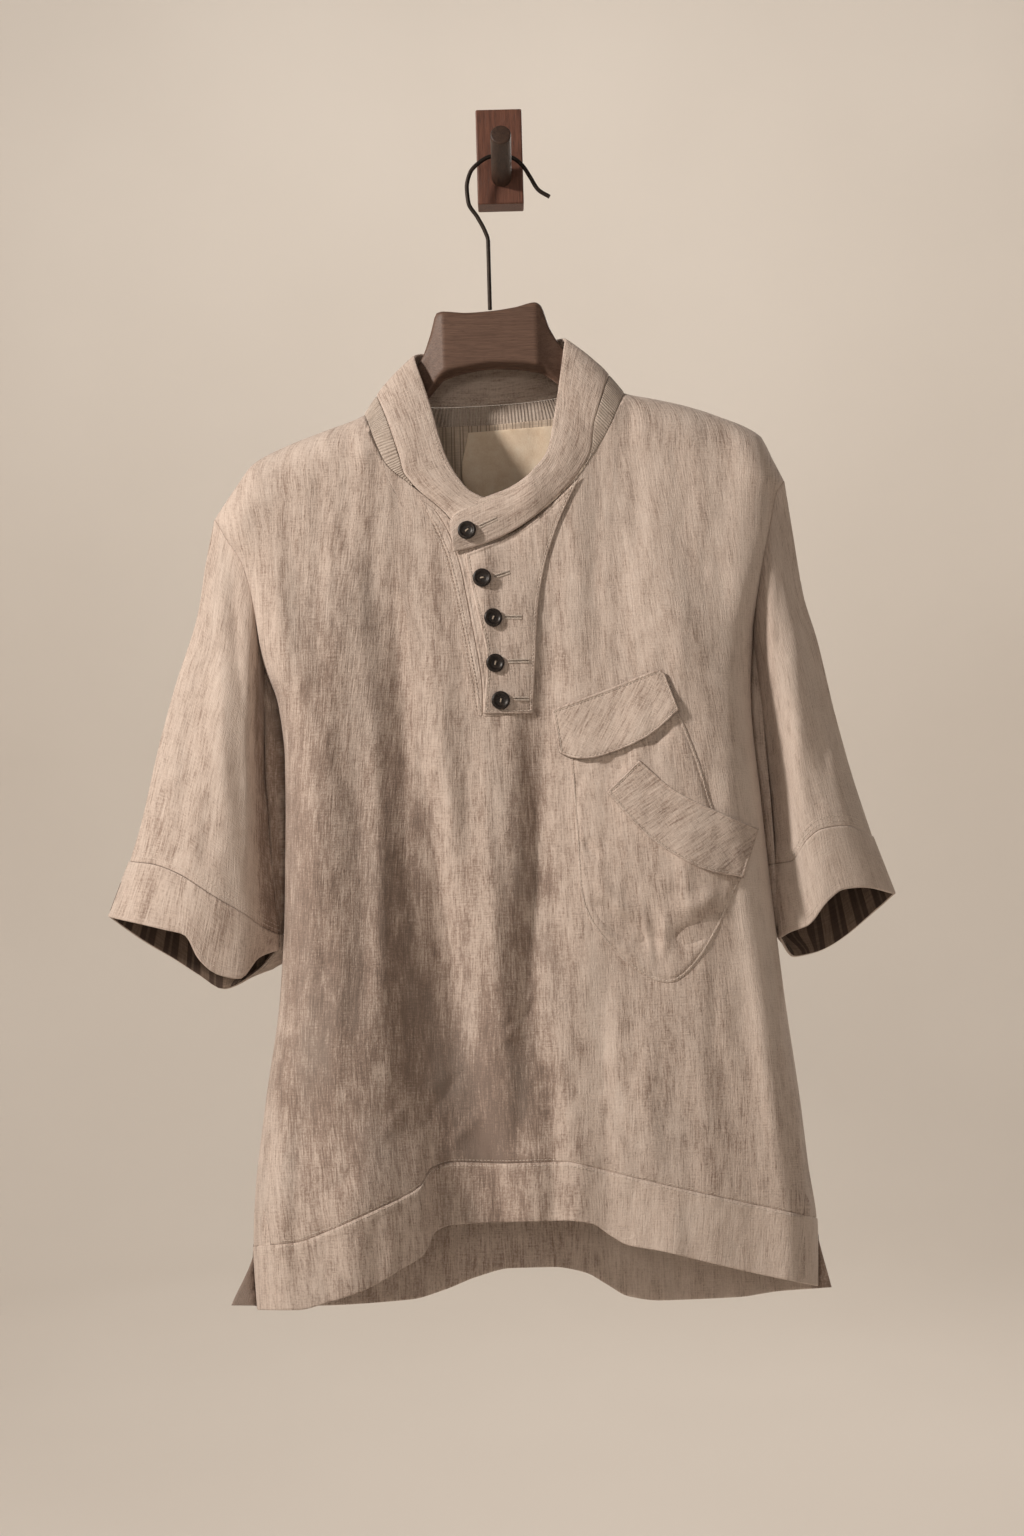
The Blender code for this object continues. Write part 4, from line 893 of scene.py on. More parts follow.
class Nodes:
    """Adds nodes to a material's tree, and joins them to its one shader."""

    def __init__(self, name, roughness, **inputs):
        self.material = bpy.data.materials.new(name)
        self.material.use_nodes = True
        self.tree = self.material.node_tree
        self.shader = self.tree.nodes["Principled BSDF"]
        self.shader.inputs["Roughness"].default_value = roughness
        for key, value in inputs.items():
            self.shader.inputs[key.replace("_", " ")].default_value = value

    def add(self, kind, *values, **settings):
        """A node, its settings, and its inputs in order: a socket, a value, or None to leave it."""
        node = self.tree.nodes.new("ShaderNode" + kind)
        for key, value in settings.items():
            setattr(node, key, value)
        for socket, value in zip(node.inputs, values):
            if isinstance(value, bpy.types.NodeSocket):
                self.tree.links.new(value, socket)
            elif value is not None:
                socket.default_value = value
        return node

    def coordinates(self, kind="UV"):
        return self.add("TexCoord").outputs[kind]

    def noise(self, where, scale, detail=2.0, roughness=0.5, move=(0, 0, 0)):
        """Noise from 0 to 1 whose cells are 1/scale metres along each axis."""
        mapped = self.add("Mapping", where, move, None, scale).outputs[0]
        return self.add("TexNoise", mapped, None, 1.0, detail, roughness).outputs["Fac"]

    def math(self, operation, *values):
        return self.add("Math", *values, operation=operation).outputs[0]

    def spread(self, value, low, high, to_low=0.0, to_high=1.0):
        return self.add("MapRange", value, low, high, to_low, to_high).outputs[0]

    def ramp(self, value, *stops):
        """A colour ramp through (place, (r, g, b)) stops."""
        node = self.add("ValToRGB", value)
        elements = node.color_ramp.elements
        for number, (at, colour) in enumerate(stops):
            element = elements[number] if number < 2 else elements.new(at)
            element.position = at
            element.color = (*colour, 1)
        return node.outputs[0]

    def mixed(self, factor, first, second):
        node = self.add("Mix", data_type="RGBA")
        for key, value in ((0, factor), (6, first), (7, second)):
            if isinstance(value, bpy.types.NodeSocket):
                self.tree.links.new(value, node.inputs[key])
            else:
                node.inputs[key].default_value = (*value, 1) if key else value
        return node.outputs[2]

    def colour(self, value):
        self.tree.links.new(value, self.shader.inputs["Base Color"])

    def bump(self, height, distance, strength=1.0):
        node = self.add("Bump", strength, distance)
        self.tree.links.new(height, node.inputs["Height"])
        self.tree.links.new(node.outputs[0], self.shader.inputs["Normal"])


def linen(name, light, middle, dark, ribs=0.0):
    """Slubby hand-dyed linen: soft streaks along the warp, slubs, mottling, and a point attribute of dye
    patches, painted shade and painted light.
    """
    n = Nodes(name, 0.92, Sheen_Weight=0.1, Sheen_Roughness=0.6, Specular_IOR_Level=0.12)
    where = n.coordinates()
    drift = n.noise(where, (28, 9, 1), 1.0)
    bent = n.add("VectorMath", where, operation="ADD")
    shifted = n.add("CombineXYZ", n.math("MULTIPLY", drift, 0.008), 0.0, 0.0).outputs[0]
    n.tree.links.new(shifted, bent.inputs[1])
    where = bent.outputs[0]
    broad = n.noise(where, (74, 9, 1), 3.0, 0.6)
    streaks = n.noise(where, (330, 30, 1), 4.0, 0.62, (0.3, 0.7, 0))
    threads = n.noise(where, (820, 64, 1), 2.0, 0.6, (0.9, 0.2, 0))
    blotches = n.noise(where, (64, 36, 1), 5.0, 0.68, (0.1, 0.4, 0))
    grit = n.noise(where, (620, 520, 1), 3.0, 0.7, (0.5, 0.6, 0))
    weft = n.noise(where, (70, 1300, 1), 2.0, 0.6)
    # the point attribute: the dye's patches together with painted shade and painted light
    dye_and_shade = n.add("Attribute", attribute_name="dye_and_shade").outputs["Fac"]
    total = n.math("MULTIPLY", broad, 0.8)
    for part, weight in ((streaks, 0.85), (threads, 1.3), (blotches, 0.95), (grit, 1.0), (weft, 0.6)):
        total = n.math("MULTIPLY_ADD", part, weight, total)
    total = n.math("MULTIPLY_ADD", dye_and_shade, 0.75, total)
    amount = n.spread(total, 2.26, 3.46)
    cloth = n.ramp(amount, (0.0, light), (0.4, middle), (0.75, dark), (1.0, [0.72 * c for c in dark]))
    cool = n.noise(where, (22, 9, 1), 2.0, 0.5, (0.7, 0.9, 0))
    cool = n.math("MULTIPLY", n.spread(cool, 0.5, 0.72), 0.2)
    grey = (middle[0] * 0.94, middle[1] * 1.03, middle[2] * 1.08)
    n.colour(n.mixed(cool, cloth, grey))
    relief = n.math("MULTIPLY_ADD", threads, 0.7, n.math("MULTIPLY", weft, 0.6))
    relief = n.math("MULTIPLY_ADD", grit, 0.6, relief)
    relief = n.math("MULTIPLY_ADD", streaks, 0.5, relief)
    if ribs:
        across = n.add("SeparateXYZ", where).outputs[0]
        wave = n.math("SINE", n.math("MULTIPLY", across, 2 * math.pi / (ribs * MM)))
        relief = n.math("MULTIPLY_ADD", wave, 0.35, relief)
    n.bump(relief, 0.0012, 0.6)
    return n.material


def striped(name, ground, stripe, pitch, width):
    """Woven stripes along the cloth's length, with a slub weave: a wide and a narrow one in each
    pitch. width is the wide one's share of the pitch."""
    n = Nodes(name, 0.85, Sheen_Weight=0.08, Specular_IOR_Level=0.2)
    where = n.coordinates()
    across = n.add("SeparateXYZ", where).outputs[0]
    wander = n.noise(where, (60, 20, 1), 2.0)
    across = n.math("MULTIPLY_ADD", wander, 0.0012, across)
    phase = n.math("FRACT", n.math("DIVIDE", across, pitch * MM))
    narrow = [0.7 * c for c in stripe]
    band = n.ramp(
        phase, (0.0, stripe), (width, stripe), (width + 0.05, ground), (0.66, ground),
        (0.7, narrow), (0.76, narrow), (0.8, ground), (0.95, ground),
    )
    threads = n.noise(where, (900, 60, 1), 2.0, 0.6)
    weft = n.noise(where, (60, 900, 1), 2.0, 0.6, (0.4, 0.1, 0))
    shade = n.math("MULTIPLY", n.math("ADD", threads, weft), 0.5)
    dark = [0.45 * c for c in ground]
    n.colour(n.mixed(n.spread(shade, 0.42, 0.62, 0.45, 0.0), band, dark))
    n.bump(shade, 0.0008, 0.6)
    return n.material


def label_cloth():
    """A soft patch, mottled all over."""
    n = Nodes("label_cloth", 0.8, Sheen_Weight=0.1, Specular_IOR_Level=0.2)
    where = n.coordinates()
    mottle = n.noise(where, (90, 70, 1), 3.0, 0.6)
    weave = n.noise(where, (900, 700, 1), 2.0, 0.6)
    amount = n.spread(n.math("MULTIPLY_ADD", weave, 0.4, mottle), 0.5, 0.95)
    n.colour(n.ramp(amount, (0.0, (0.78, 0.62, 0.46)), (0.6, (0.88, 0.74, 0.58)), (1.0, (0.92, 0.81, 0.66))))
    n.bump(weave, 0.0005, 0.5)
    return n.material


def wood(name, light, dark, grain, roughness, coat=0.0, marks=0.35):
    """Planed wood. grain is how many rings and fibres a metre shows along each axis."""
    n = Nodes(name, roughness, Specular_IOR_Level=0.35, Coat_Weight=coat, Coat_Roughness=0.35)
    where = n.coordinates("Object")
    rings = n.noise(where, [0.16 * g for g in grain], 3.0, 0.6)
    figure = n.math("SINE", n.math("MULTIPLY", rings, 34.0))
    fibres = n.noise(where, grain, 3.0, 0.7, (0.3, 0.1, 0.8))
    pores = n.noise(where, [2.2 * g for g in grain], 1.0, 0.5, (0.6, 0.2, 0.4))
    total = n.math("MULTIPLY_ADD", figure, 0.07, fibres)
    pore = n.spread(pores, 0.6, 0.72, 0.0, marks)
    total = n.math("SUBTRACT", total, pore)
    middle = [0.5 * (a + b) for a, b in zip(light, dark)]
    n.colour(n.ramp(n.spread(total, 0.2, 0.74), (0.0, dark), (0.5, middle), (1.0, light)))
    n.bump(n.math("SUBTRACT", fibres, pore), 0.0005, 0.4)
    return n.material


def mottled(name, roughness, grain, *stops, spread=(0.3, 0.7), detail=(2.0, 0.5), relief=None, **inputs):
    """A stuff whose colour runs through the stops with soft noise. relief is the grain and the
    strength of its bumps."""
    n = Nodes(name, roughness, **inputs)
    where = n.coordinates("Object")
    n.colour(n.ramp(n.spread(n.noise(where, grain, *detail), *spread), *stops))
    if relief:
        n.bump(n.noise(where, relief[0], 2.0), 0.0002, relief[1])
    return n.material


def thread(name, colour):
    stops = (0.0, [0.7 * c for c in colour]), (1.0, colour)
    return mottled(name, 0.8, (500, 500, 500), *stops, Sheen_Weight=0.1, Specular_IOR_Level=0.2)


LINEN = linen("linen", (0.685, 0.585, 0.517), (0.568, 0.469, 0.407), (0.335, 0.254, 0.211))
RIBBED = linen("ribbed_linen", (0.6, 0.52, 0.455), (0.5, 0.42, 0.36), (0.33, 0.265, 0.22), ribs=2.2)
# The same striped facing twice: a darker copy with painted shade for the cuffs' insides, and a lighter copy
# with painted light for the back yoke.
FACING_PAINTED_SHADE = striped("striped_facing", (0.07, 0.046, 0.035), (0.2, 0.145, 0.11), 21.0, 0.36)
FACING_PAINTED_LIGHT = striped("facing_stripes_painted_light", (0.7, 0.58, 0.47), (0.4, 0.31, 0.24), 7.0, 0.12)
LABEL = label_cloth()
HORN = mottled(
    "horn", 0.42, (260, 260, 900),
    (0.0, (0.011, 0.008, 0.007)), (0.6, (0.02, 0.014, 0.011)), (1.0, (0.05, 0.034, 0.026)),
    spread=(0.35, 0.72), detail=(3.0, 0.6), relief=((700, 700, 700), 0.5),
    Specular_IOR_Level=0.35, Coat_Weight=0.08, Coat_Roughness=0.3,
)
WALNUT = wood("walnut", (0.165, 0.098, 0.07), (0.085, 0.047, 0.033), (55, 800, 1250), 0.52, 0.05, 0.3)
BLOCK = wood("block_wood", (0.17, 0.07, 0.045), (0.075, 0.03, 0.02), (700, 500, 45), 0.5, 0.05)
PEG = wood("peg_wood", (0.064, 0.036, 0.024), (0.028, 0.015, 0.011), (560, 60, 560), 0.5, 0.05)
BRONZE = mottled(
    "bronze_wire", 0.5, (160, 160, 60), (0.0, (0.018, 0.014, 0.012)), (1.0, (0.05, 0.038, 0.031)),
    detail=(3.0, 0.6), relief=((900, 900, 500), 0.4), Metallic=0.75, Specular_IOR_Level=0.4,
)
THREAD = thread("linen_thread", (0.74, 0.65, 0.57))
BUTTON_THREAD = thread("button_thread", (0.5, 0.42, 0.34))
# Dark threads laid along the buttonholes' slits: painted shade in their openings.
SHADE = thread("buttonhole_slit", (0.2, 0.15, 0.12))
PLASTER = mottled(
    "pale_floor", 0.9, (1.2, 1.2, 1.2), (0.0, (0.76, 0.705, 0.645)), (1.0, (0.79, 0.735, 0.675)),
    Specular_IOR_Level=0.1,
)


# ---------------------------------------------------------------------------------------------
# The panels and their hems.
# ---------------------------------------------------------------------------------------------

FRONT_CELL, BACK_CELL = 2.8, 4.0
ROLL_STEPS, SHOULDER_STEPS = 9, 12
BODY_LENGTH = 576.0
# u of the columns that the neck's corners need, at the panels' tops.
TOP_COLUMNS = (-113, -108, -100, -86, -66, -40, -10, 20, 46, 66, 80, 88, 94)

# Where the front is darker or paler, drawn: the dye's own patches, with painted shade on the shaded lower
# left and middle and beside the hem's left part, and painted light along the right side.
DyeAndShadePatch = namedtuple("DyeAndShadePatch", "at_u at_v reach_u reach_v strength")
DYE_AND_SHADE_PATCHES = table(
    DyeAndShadePatch,
    (-152, -700, 44, 190, 0.66), (-98, -560, 20, 120, 0.5), (-82, -680, 22, 90, 0.6),
    (-44, -780, 34, 80, 0.7), (-14, -835, 32, 80, 0.74), (12, -730, 22, 60, 0.45),
    (-16, -876, 40, 36, 0.25), (4, -560, 12, 80, 0.4), (-24, -640, 30, 130, 0.2),
    (6, -650, 12, 90, 0.25), (24, -480, 14, 110, 0.2), (-120, -380, 46, 60, 0.25),
    (-50, -400, 26, 60, 0.2), (-152, -440, 14, 90, 0.25), (-182, -560, 16, 200, 0.3),
    (60, -730, 14, 90, -0.35), (140, -760, 50, 90, 0.1), (126, -330, 60, 90, -0.2),
    (196, -540, 24, 200, -0.8), (90, -860, 60, 24, -0.1),
)


def dye_and_shade(u, v):
    """How much darker the front is at (u, v), with ragged edges: the dye's patches, painted shade and painted
    light.
    """
    ragged_u = u + 16 * noise(u, v, 16, 26, 91) + 5 * noise(u, v, 5, 8, 92)
    ragged_v = v + 30 * noise(u, v, 20, 34, 93)
    total = 0.0
    for row in DYE_AND_SHADE_PATCHES:
        off = ((ragged_u - row.at_u) / row.reach_u) ** 2 + ((ragged_v - row.at_v) / row.reach_v) ** 2
        total = total + row.strength * np.exp(-off)
    return total


def roll_places(steps, width):
    """Distances from an edge where the cloth rolls round, evenly spaced round the roll."""
    return width * (1 - np.cos(np.linspace(0, math.pi / 2, steps + 1)))


def columns(left, right, middle):
    """Places from the left to the right edge: close together where the cloth rolls round, and
    between the rolls at the given fractions."""
    roll = roll_places(ROLL_STEPS, ROLL)
    between = left + ROLL + (right - left - 2 * ROLL) * middle
    return np.concatenate((left + roll, between, (right - roll)[::-1]))


def panel(neck, seam, edge, sides, cell):
    """A panel's drawn grid as u and v: hem rows from its edge up to the hem seam, then to its top.
    The third result is the number of hem rows."""
    left_side, right_side = sides
    left_end, right_end = LEFT_SHOULDER[0][0], RIGHT_SHOULDER[-1][0]
    first, last = left_end + ROLL, right_end - ROLL
    middle = (finer((first, *TOP_COLUMNS, last), cell)[1:-1] - first) / (last - first)
    at_top = columns(left_end, right_end, middle)
    at_seam = columns(through(left_side, seam[0][1]), through(right_side, seam[-1][1]), middle)
    at_edge = columns(through(left_side, edge[0][1]), through(right_side, edge[-1][1]), middle)
    edge_v, seam_v, top_v = through(edge, at_edge), through(seam, at_seam), top_edge(neck, at_top)
    hem_rows = round(BACK_HEM_HEIGHT / cell)
    rows = [edge_v + (seam_v - edge_v) * t for t in np.linspace(0, 1, hem_rows + 1)]
    below_roll = top_v - SHOULDER_ROLL
    rows += [seam_v + (below_roll - seam_v) * t for t in finer((0, 1), cell / BODY_LENGTH)[1:]]
    rows += [top_v - d for d in roll_places(SHOULDER_STEPS, SHOULDER_ROLL)[::-1][1:]]
    v = np.array(rows)
    sides = zip(through(left_side, v[:, 0]), through(right_side, v[:, -1]))
    u = np.array([columns(left, right, middle) for left, right in sides])
    return u, v, hem_rows


def woven(u, v, depth):
    """A panel's uv, in metres: the way round its form from the middle, and the drawn height."""
    form = place(u, v, depth(u, v))
    step = np.linalg.norm(np.diff(form, axis=1), axis=-1)
    reach = np.concatenate((np.zeros((len(u), 1)), np.cumsum(step, 1)), 1)
    middle = u.shape[1] // 2
    return np.stack((reach - reach[:, middle : middle + 1] + u[:, middle : middle + 1] * MM, v * MM), -1)


def paint_dye_and_shade(obj, field):
    """Paints a field of dye, painted shade and painted light onto an object's points, found back from their
    places.
    """
    count = len(obj.data.vertices)
    points = np.empty(count * 3)
    obj.data.vertices.foreach_get("co", points)
    points = points.reshape(-1, 3) / MM
    nearness = (points[:, 1] - VIEWPOINT[1]) / (DRAWN_AT - VIEWPOINT[1])
    u = VIEWPOINT[0] + (points[:, 0] - VIEWPOINT[0]) / nearness
    v = VIEWPOINT[2] + (points[:, 2] - VIEWPOINT[2]) / nearness
    layer = obj.data.attributes.new("dye_and_shade", "FLOAT", "POINT")
    layer.data.foreach_set("value", field(u, v).astype(np.float32))


HEM = 1.9  # thickness of a turned hem


def pulled_back(points, low=0.0, high=0.0, sides=0.0):
    """A grid whose first row, last row and two side columns are drawn back along the cloth."""
    points = points.copy()
    for grid, amounts in ((points, (low, high)), (points.swapaxes(0, 1), (sides, sides))):
        for row, inner, amount in ((0, 1, amounts[0]), (-1, -2, amounts[1])):
            inwards = grid[inner] - grid[row]
            length = np.linalg.norm(inwards, axis=-1, keepdims=True)
            grid[row] += inwards / length * np.minimum(np.asarray(amount) * MM, length / 2)
    return points


front_u, front_v, front_hem = panel(
    FRONT_NECK, FRONT_HEM_SEAM, FRONT_EDGE, (LEFT_SIDE, RIGHT_SIDE), FRONT_CELL,
)
front_uv = woven(front_u, front_v, front_depth)
front_points = place(front_u, front_v, front_surface(front_u, front_v))
BACK_HEM_SEAM = tuple((u, v + BACK_HEM_HEIGHT) for u, v in BACK_EDGE)
back_u, back_v, back_hem = panel(
    BACK_NECK, BACK_HEM_SEAM, BACK_EDGE,
    (LEFT_SIDE[:-1] + LEFT_VENT_BACK[1:], RIGHT_SIDE[:-1] + RIGHT_VENT_BACK[1:]), BACK_CELL,
)
back_uv = woven(back_u, back_v, back_depth)[:, ::-1] + (0.9, 0.35)
back_points = place(back_u, back_v, back_surface(back_u, back_v))[:, ::-1]


def panel_piece(node, points, uv, back, **settings):
    """A piece of linen, whose low edge, high edge and sides are drawn back that far."""
    return shell(node + "_cloth", pulled_back(points, *back), uv, LINEN, "linen", node, **settings)


HEMMED = {"thickness": HEM, "shift": 0.25}
PANEL_EDGES, HEM_EDGES = (GAP / 2, GAP, GAP), (0, GAP / 2, GAP)
front = panel_piece("front", front_points[front_hem:], front_uv[front_hem:], PANEL_EDGES)
hem_front = shell(
    "front_hem_cloth", pulled_back(front_points[: front_hem + 1], *HEM_EDGES),
    front_uv[: front_hem + 1] + (0.31, 0.12), LINEN, "linen", "hem_front", **HEMMED,
)
back = panel_piece("back", back_points[back_hem:], back_uv[back_hem:], PANEL_EDGES)
hem_back = shell(
    "back_hem_cloth", pulled_back(back_points[: back_hem + 1], *HEM_EDGES),
    back_uv[: back_hem + 1] + (0.2, 0.1), LINEN, "linen", "hem_back", **HEMMED,
)


def front_hem_dye_and_shade(u, v):
    """The front's dye and painted shade, weaker than over the seam, and paler on the right."""
    return 0.5 * dye_and_shade(u, v + 40) - 0.25 * ramp((u - 40) / 60)


def back_hem_painted_light_and_shade(u, v):
    """Painted shade on the back's hem, with painted light on the right and deep painted shade in the vents at
    both ends.
    """
    return 0.15 - 0.4 * ramp((u - 20) / 60) + 1.0 * ramp((np.abs(u - 10) - 212) / 8)


# Dye patches with painted shade and painted light on the front and its hem; painted shade and painted light
# on the back's hem.
paint_dye_and_shade(front, dye_and_shade)
paint_dye_and_shade(hem_front, front_hem_dye_and_shade)
paint_dye_and_shade(hem_back, back_hem_painted_light_and_shade)


# ---------------------------------------------------------------------------------------------
# What lies on the panels.
# ---------------------------------------------------------------------------------------------

STITCH_INSET = 2.6  # from an edge to its row of stitches
BAG_INSET, FACING_INSET, STRIP_INSET = 2.7, 1.3, 1.8
FLAP_HEIGHT = 2 * (GAP + CLOTH)
Sag = namedtuple("Sag", "at_u at_v reach_u reach_v depth")
POCKET_SAG = Sag(112, -585, 62, 95, 3.6)
BAG_EDGE = 6.0  # how far in from its edge the bag is flat


def bag_shape(u, v):
    """The pocket's bag sags, most at its lower middle, and creases under the flaps."""
    sag = POCKET_SAG
    off = ((u - sag.at_u) / sag.reach_u) ** 2 + ((v - sag.at_v) / sag.reach_v) ** 2
    return sag.depth * np.exp(-off) + creases(BAG_CREASES, u, v) + 0.25 * noise(u, v, 7, 9, 31)


def bag_surface(u, v):
    """The depth of the front's cloth with the pocket's bag on it."""
    edge = trace(POCKET_BAG)
    rise = bag_shape(u, v) * ramp(line_distance(u, v, edge, closed=True) / BAG_EDGE)
    return front_surface(u, v) - GAP - CLOTH - np.where(inside(edge, u, v), rise, 0)


def over_shape(u, v):
    return 0.5 + 0.35 * noise(u, v, 12, 18, 21)


# A flap's free edge, how high that stands off the bag and how far in this reaches, how high the
# rest lies, its waves with their cells, and its ripple.
Flap = namedtuple("Flap", "outline free_edge stands reach lies wave cell_u cell_v ripple seed")
UPPER = Flap(
    UPPER_FLAP, ((35, -493), (49, -498), (71, -496), (106, -482), (132, -461)),
    2.6, 34, 0.5, 0.5, 22, 16, 0.15, 33,
)
LOWER = Flap(
    LOWER_FLAP, ((72, -525), (104, -562), (145, -588), (180, -597)),
    2.2, 30, 1.6, 0.7, 24, 14, 0.25, 35,
)


def flap_shape(flap):
    """A flap's free lower edge stands a little off the bag, and its top bends over the stitching."""
    def shape(u, v):
        free = near_edge(line_distance(u, v, flap.free_edge), flap.reach)
        waves = flap.wave * noise(u, v, flap.cell_u, flap.cell_v, flap.seed) * (1 - free)
        ripple = flap.ripple * noise(u, v, 6, 9, flap.seed + 1)
        return flap.stands * free + flap.lies + waves + ripple

    return shape


def on_front(node, outline, turn=0, stitches_in=STITCH_INSET, **settings):
    """A linen patch on the front."""
    rows = (stitches_in,)
    return patch(node, outline, front_surface, LINEN, "linen", turn=turn, rows_of_stitches=rows, **settings)


def flap_patch(node, flap, turn):
    return on_front(
        node, flap.outline, turn, height=GAP + CLOTH + 0.6, thickness=1.7, shape=flap_shape(flap),
        soft_edge=0.4, rim=0.35,
    )


facing = on_front("placket_facing", PLACKET_FACING, 12, FACING_INSET)
under = on_front("placket_under", PLACKET_UNDER, 8)
over = on_front(
    "placket_over", PLACKET_OVER, -3, height=GAP + CLOTH, shape=over_shape, soft_edge=2.0, rim=0.3,
)
bag = on_front("pocket_bag", POCKET_BAG, -4, BAG_INSET, shape=bag_shape, spacing=2.0, rim=0.12)
upper_flap = flap_patch("pocket_flap_upper", UPPER, 28)
lower_flap = flap_patch("pocket_flap_lower", LOWER, 58)
strips = {
    side: on_front("vent_strip_" + side, VENT_STRIPS[side], 0, STRIP_INSET, height=HEM / 2)
    for side in ("left", "right")
}
yoke = patch("back_yoke", BACK_YOKE, back_surface, FACING_PAINTED_LIGHT, "striped_facing", spacing=5.0)
label = patch(
    "neck_label", NECK_LABEL, back_surface, LABEL, "label_cloth", height=2 * GAP + CLOTH, thickness=0.7,
    spacing=5.0,
)


def beside(rows, off_u, off_v):
    """A drawn line, moved."""
    return [(u + off_u, v + off_v) for u, v in rows]


def flap_route(flap, first, last):
    """Stitches along a flap's edge, on its own form."""
    shape = flap_shape(flap)
    route = seam_of(flap.outline, STITCH_INSET, first, last)
    return drawn_route(route, lambda u, v: front_surface(u, v) - shape(u, v), FLAP_HEIGHT + 1.0)


panel_stitches = [
    drawn_route(beside(FRONT_HEM_SEAM, 0, off), front_surface, height)
    for off, height in ((2.0, CLOTH / 2), (-2.4, HEM / 2 + 0.3))
]
placket_stitches = [
    drawn_route(seam_of(PLACKET_OVER, STITCH_INSET, first, last), front_surface, FLAP_HEIGHT + 0.4)
    for first, last in (((-25, -460), (58, -272)), ((-36, -332), (-25, -460)))
] + [
    drawn_route(beside(PLACKET_FACING_LINE, off, 0), front_surface, CLOTH / 2 + GAP + CLOTH)
    for off in (-3.2, 0.2)
]
pocket_stitches = [
    drawn_route(seam_of(POCKET_BAG, 1.6, (42, -472), (120, -446)), bag_surface, 0.1),
    flap_route(UPPER, (35, -493), (132, -461)),
    flap_route(LOWER, (180, -597), (99, -500)),
    flap_route(UPPER, (115, -428), (30, -458)),
]


# ---------------------------------------------------------------------------------------------
# Sleeves, cuffs and their facings.
# ---------------------------------------------------------------------------------------------

SLEEVE_ROWS, SLEEVE_COLUMNS, CUFF_ROWS = 90, 44, 18


def along(rows, fraction):
    """The drawn points at those fractions of the length of a smooth curve through (u, v) rows."""
    rows = np.array(rows, float)
    reach = lengths_along(rows)
    return np.stack([through(list(zip(reach / reach[-1], column)), fraction) for column in rows.T], -1)


def drawn_patch(start, end, outer, inner, across, down):
    """A grid between four drawn curves, each given by its points at those fractions."""
    t, s = down[:, None, None], across[None, :, None]
    outer_bow = outer - (outer[0] + (outer[-1] - outer[0]) * down[:, None])
    inner_bow = inner - (inner[0] + (inner[-1] - inner[0]) * down[:, None])
    return start + (end - start) * t + outer_bow[:, None] * (1 - s) + inner_bow[:, None] * s


def half_tube(start, end, outer, inner, across, down, reach, towards):
    """The front or rear half of a tube as (u, v, y). reach is how far down the sleeve it lies."""
    drawn = drawn_patch(start, end, outer, inner, across, down)
    half = through(SLEEVE_HALF_DEPTH, reach)[:, None]
    round_it = np.sin(math.pi * across) ** BULGE_FULLNESS
    depth = through(SLEEVE_MIDDLE, reach)[:, None] + towards * half * round_it
    return np.concatenate((drawn, depth[..., None]), -1)


def armhole(side, down, towards):
    """The panel's points on the armhole's seam as (u, v, y), from the shoulder to the underarm."""
    top, bottom = SHOULDER_POINT[side][1], UNDERARM[side][1]
    v = top + (bottom - top) * down
    u = through(LEFT_SIDE if side == "left" else RIGHT_SIDE, v)
    return np.stack((u, v, seam_depth(u, v, towards)), -1)


def creased_half(half, side, towards, down_fade, seed):
    """Adds creases and small unevenness to a half tube."""
    u, v = half[..., 0], half[..., 1]
    if towards < 0:
        lift = creases(SLEEVE_CREASES[side], u, v)
    else:
        lift = REAR_SHARE * creases(SLEEVE_CREASES[side], u * 0.98, v + 26)
    half[..., 2] += towards * (rumple(u, v, seed) + lift) * down_fade[:, None]
    return half


def tube(front_half, rear_half):
    """Both halves of a tube joined into closed rings, placed, and their uv."""
    joined = np.concatenate((front_half, rear_half[:, -2:0:-1]), 1)
    points = place(*np.moveaxis(joined, -1, 0))
    ends = np.concatenate((points, points[:, :1]), 1)
    round_it = lengths_along(ends[len(points) // 2])
    down = np.concatenate(([0], np.cumsum(np.linalg.norm(np.diff(points, axis=0), axis=-1).mean(1))))
    uv = np.stack(np.broadcast_arrays(round_it[None], -down[:, None]), -1)
    return points, uv


def outwards(points, uv, side):
    """Turns a tube's columns so that its outer side faces out."""
    return (points[:, ::-1], uv[:, ::-1]) if side == "left" else (points, uv)


def grid_row(points, share):
    """The row of a grid at that share of the way through it."""
    row = share * (len(points) - 1)
    low = int(row)
    return points[low] + (points[min(low + 1, len(points) - 1)] - points[low]) * (row - low)


def ring_stitches(points, row_share, height):
    """A route round a tube, on its outer side."""
    ring_points = grid_row(points, row_share)
    out = ring_points - ring_points.mean(0)
    out /= np.linalg.norm(out, axis=1, keepdims=True)
    route = ring_points + out * height * MM
    return np.concatenate((route, route[:1]))


BESIDE_SEAM = 0.8
FILL_FROM, FILL_FADE, FILL_END = 0.66, 0.18, 0.02  # shares of the way round the rear half


def filled(half, side, across, reach):
    """The rear half's underarm side reaches in behind the body's side seam, by that share of the
    way in each row, and closes the gap."""
    u, v = half[..., 0], half[..., 1]
    close = ramp((across - FILL_FROM) / FILL_FADE) * ramp((1 - across) / FILL_END)
    if side == "left":
        towards_seam = np.maximum(through(LEFT_SIDE, v) - BESIDE_SEAM - u, 0)
    else:
        towards_seam = np.minimum(through(RIGHT_SIDE, v) + BESIDE_SEAM - u, 0)
    half[..., 0] = u + close[None] * reach[:, None] * towards_seam
    return half


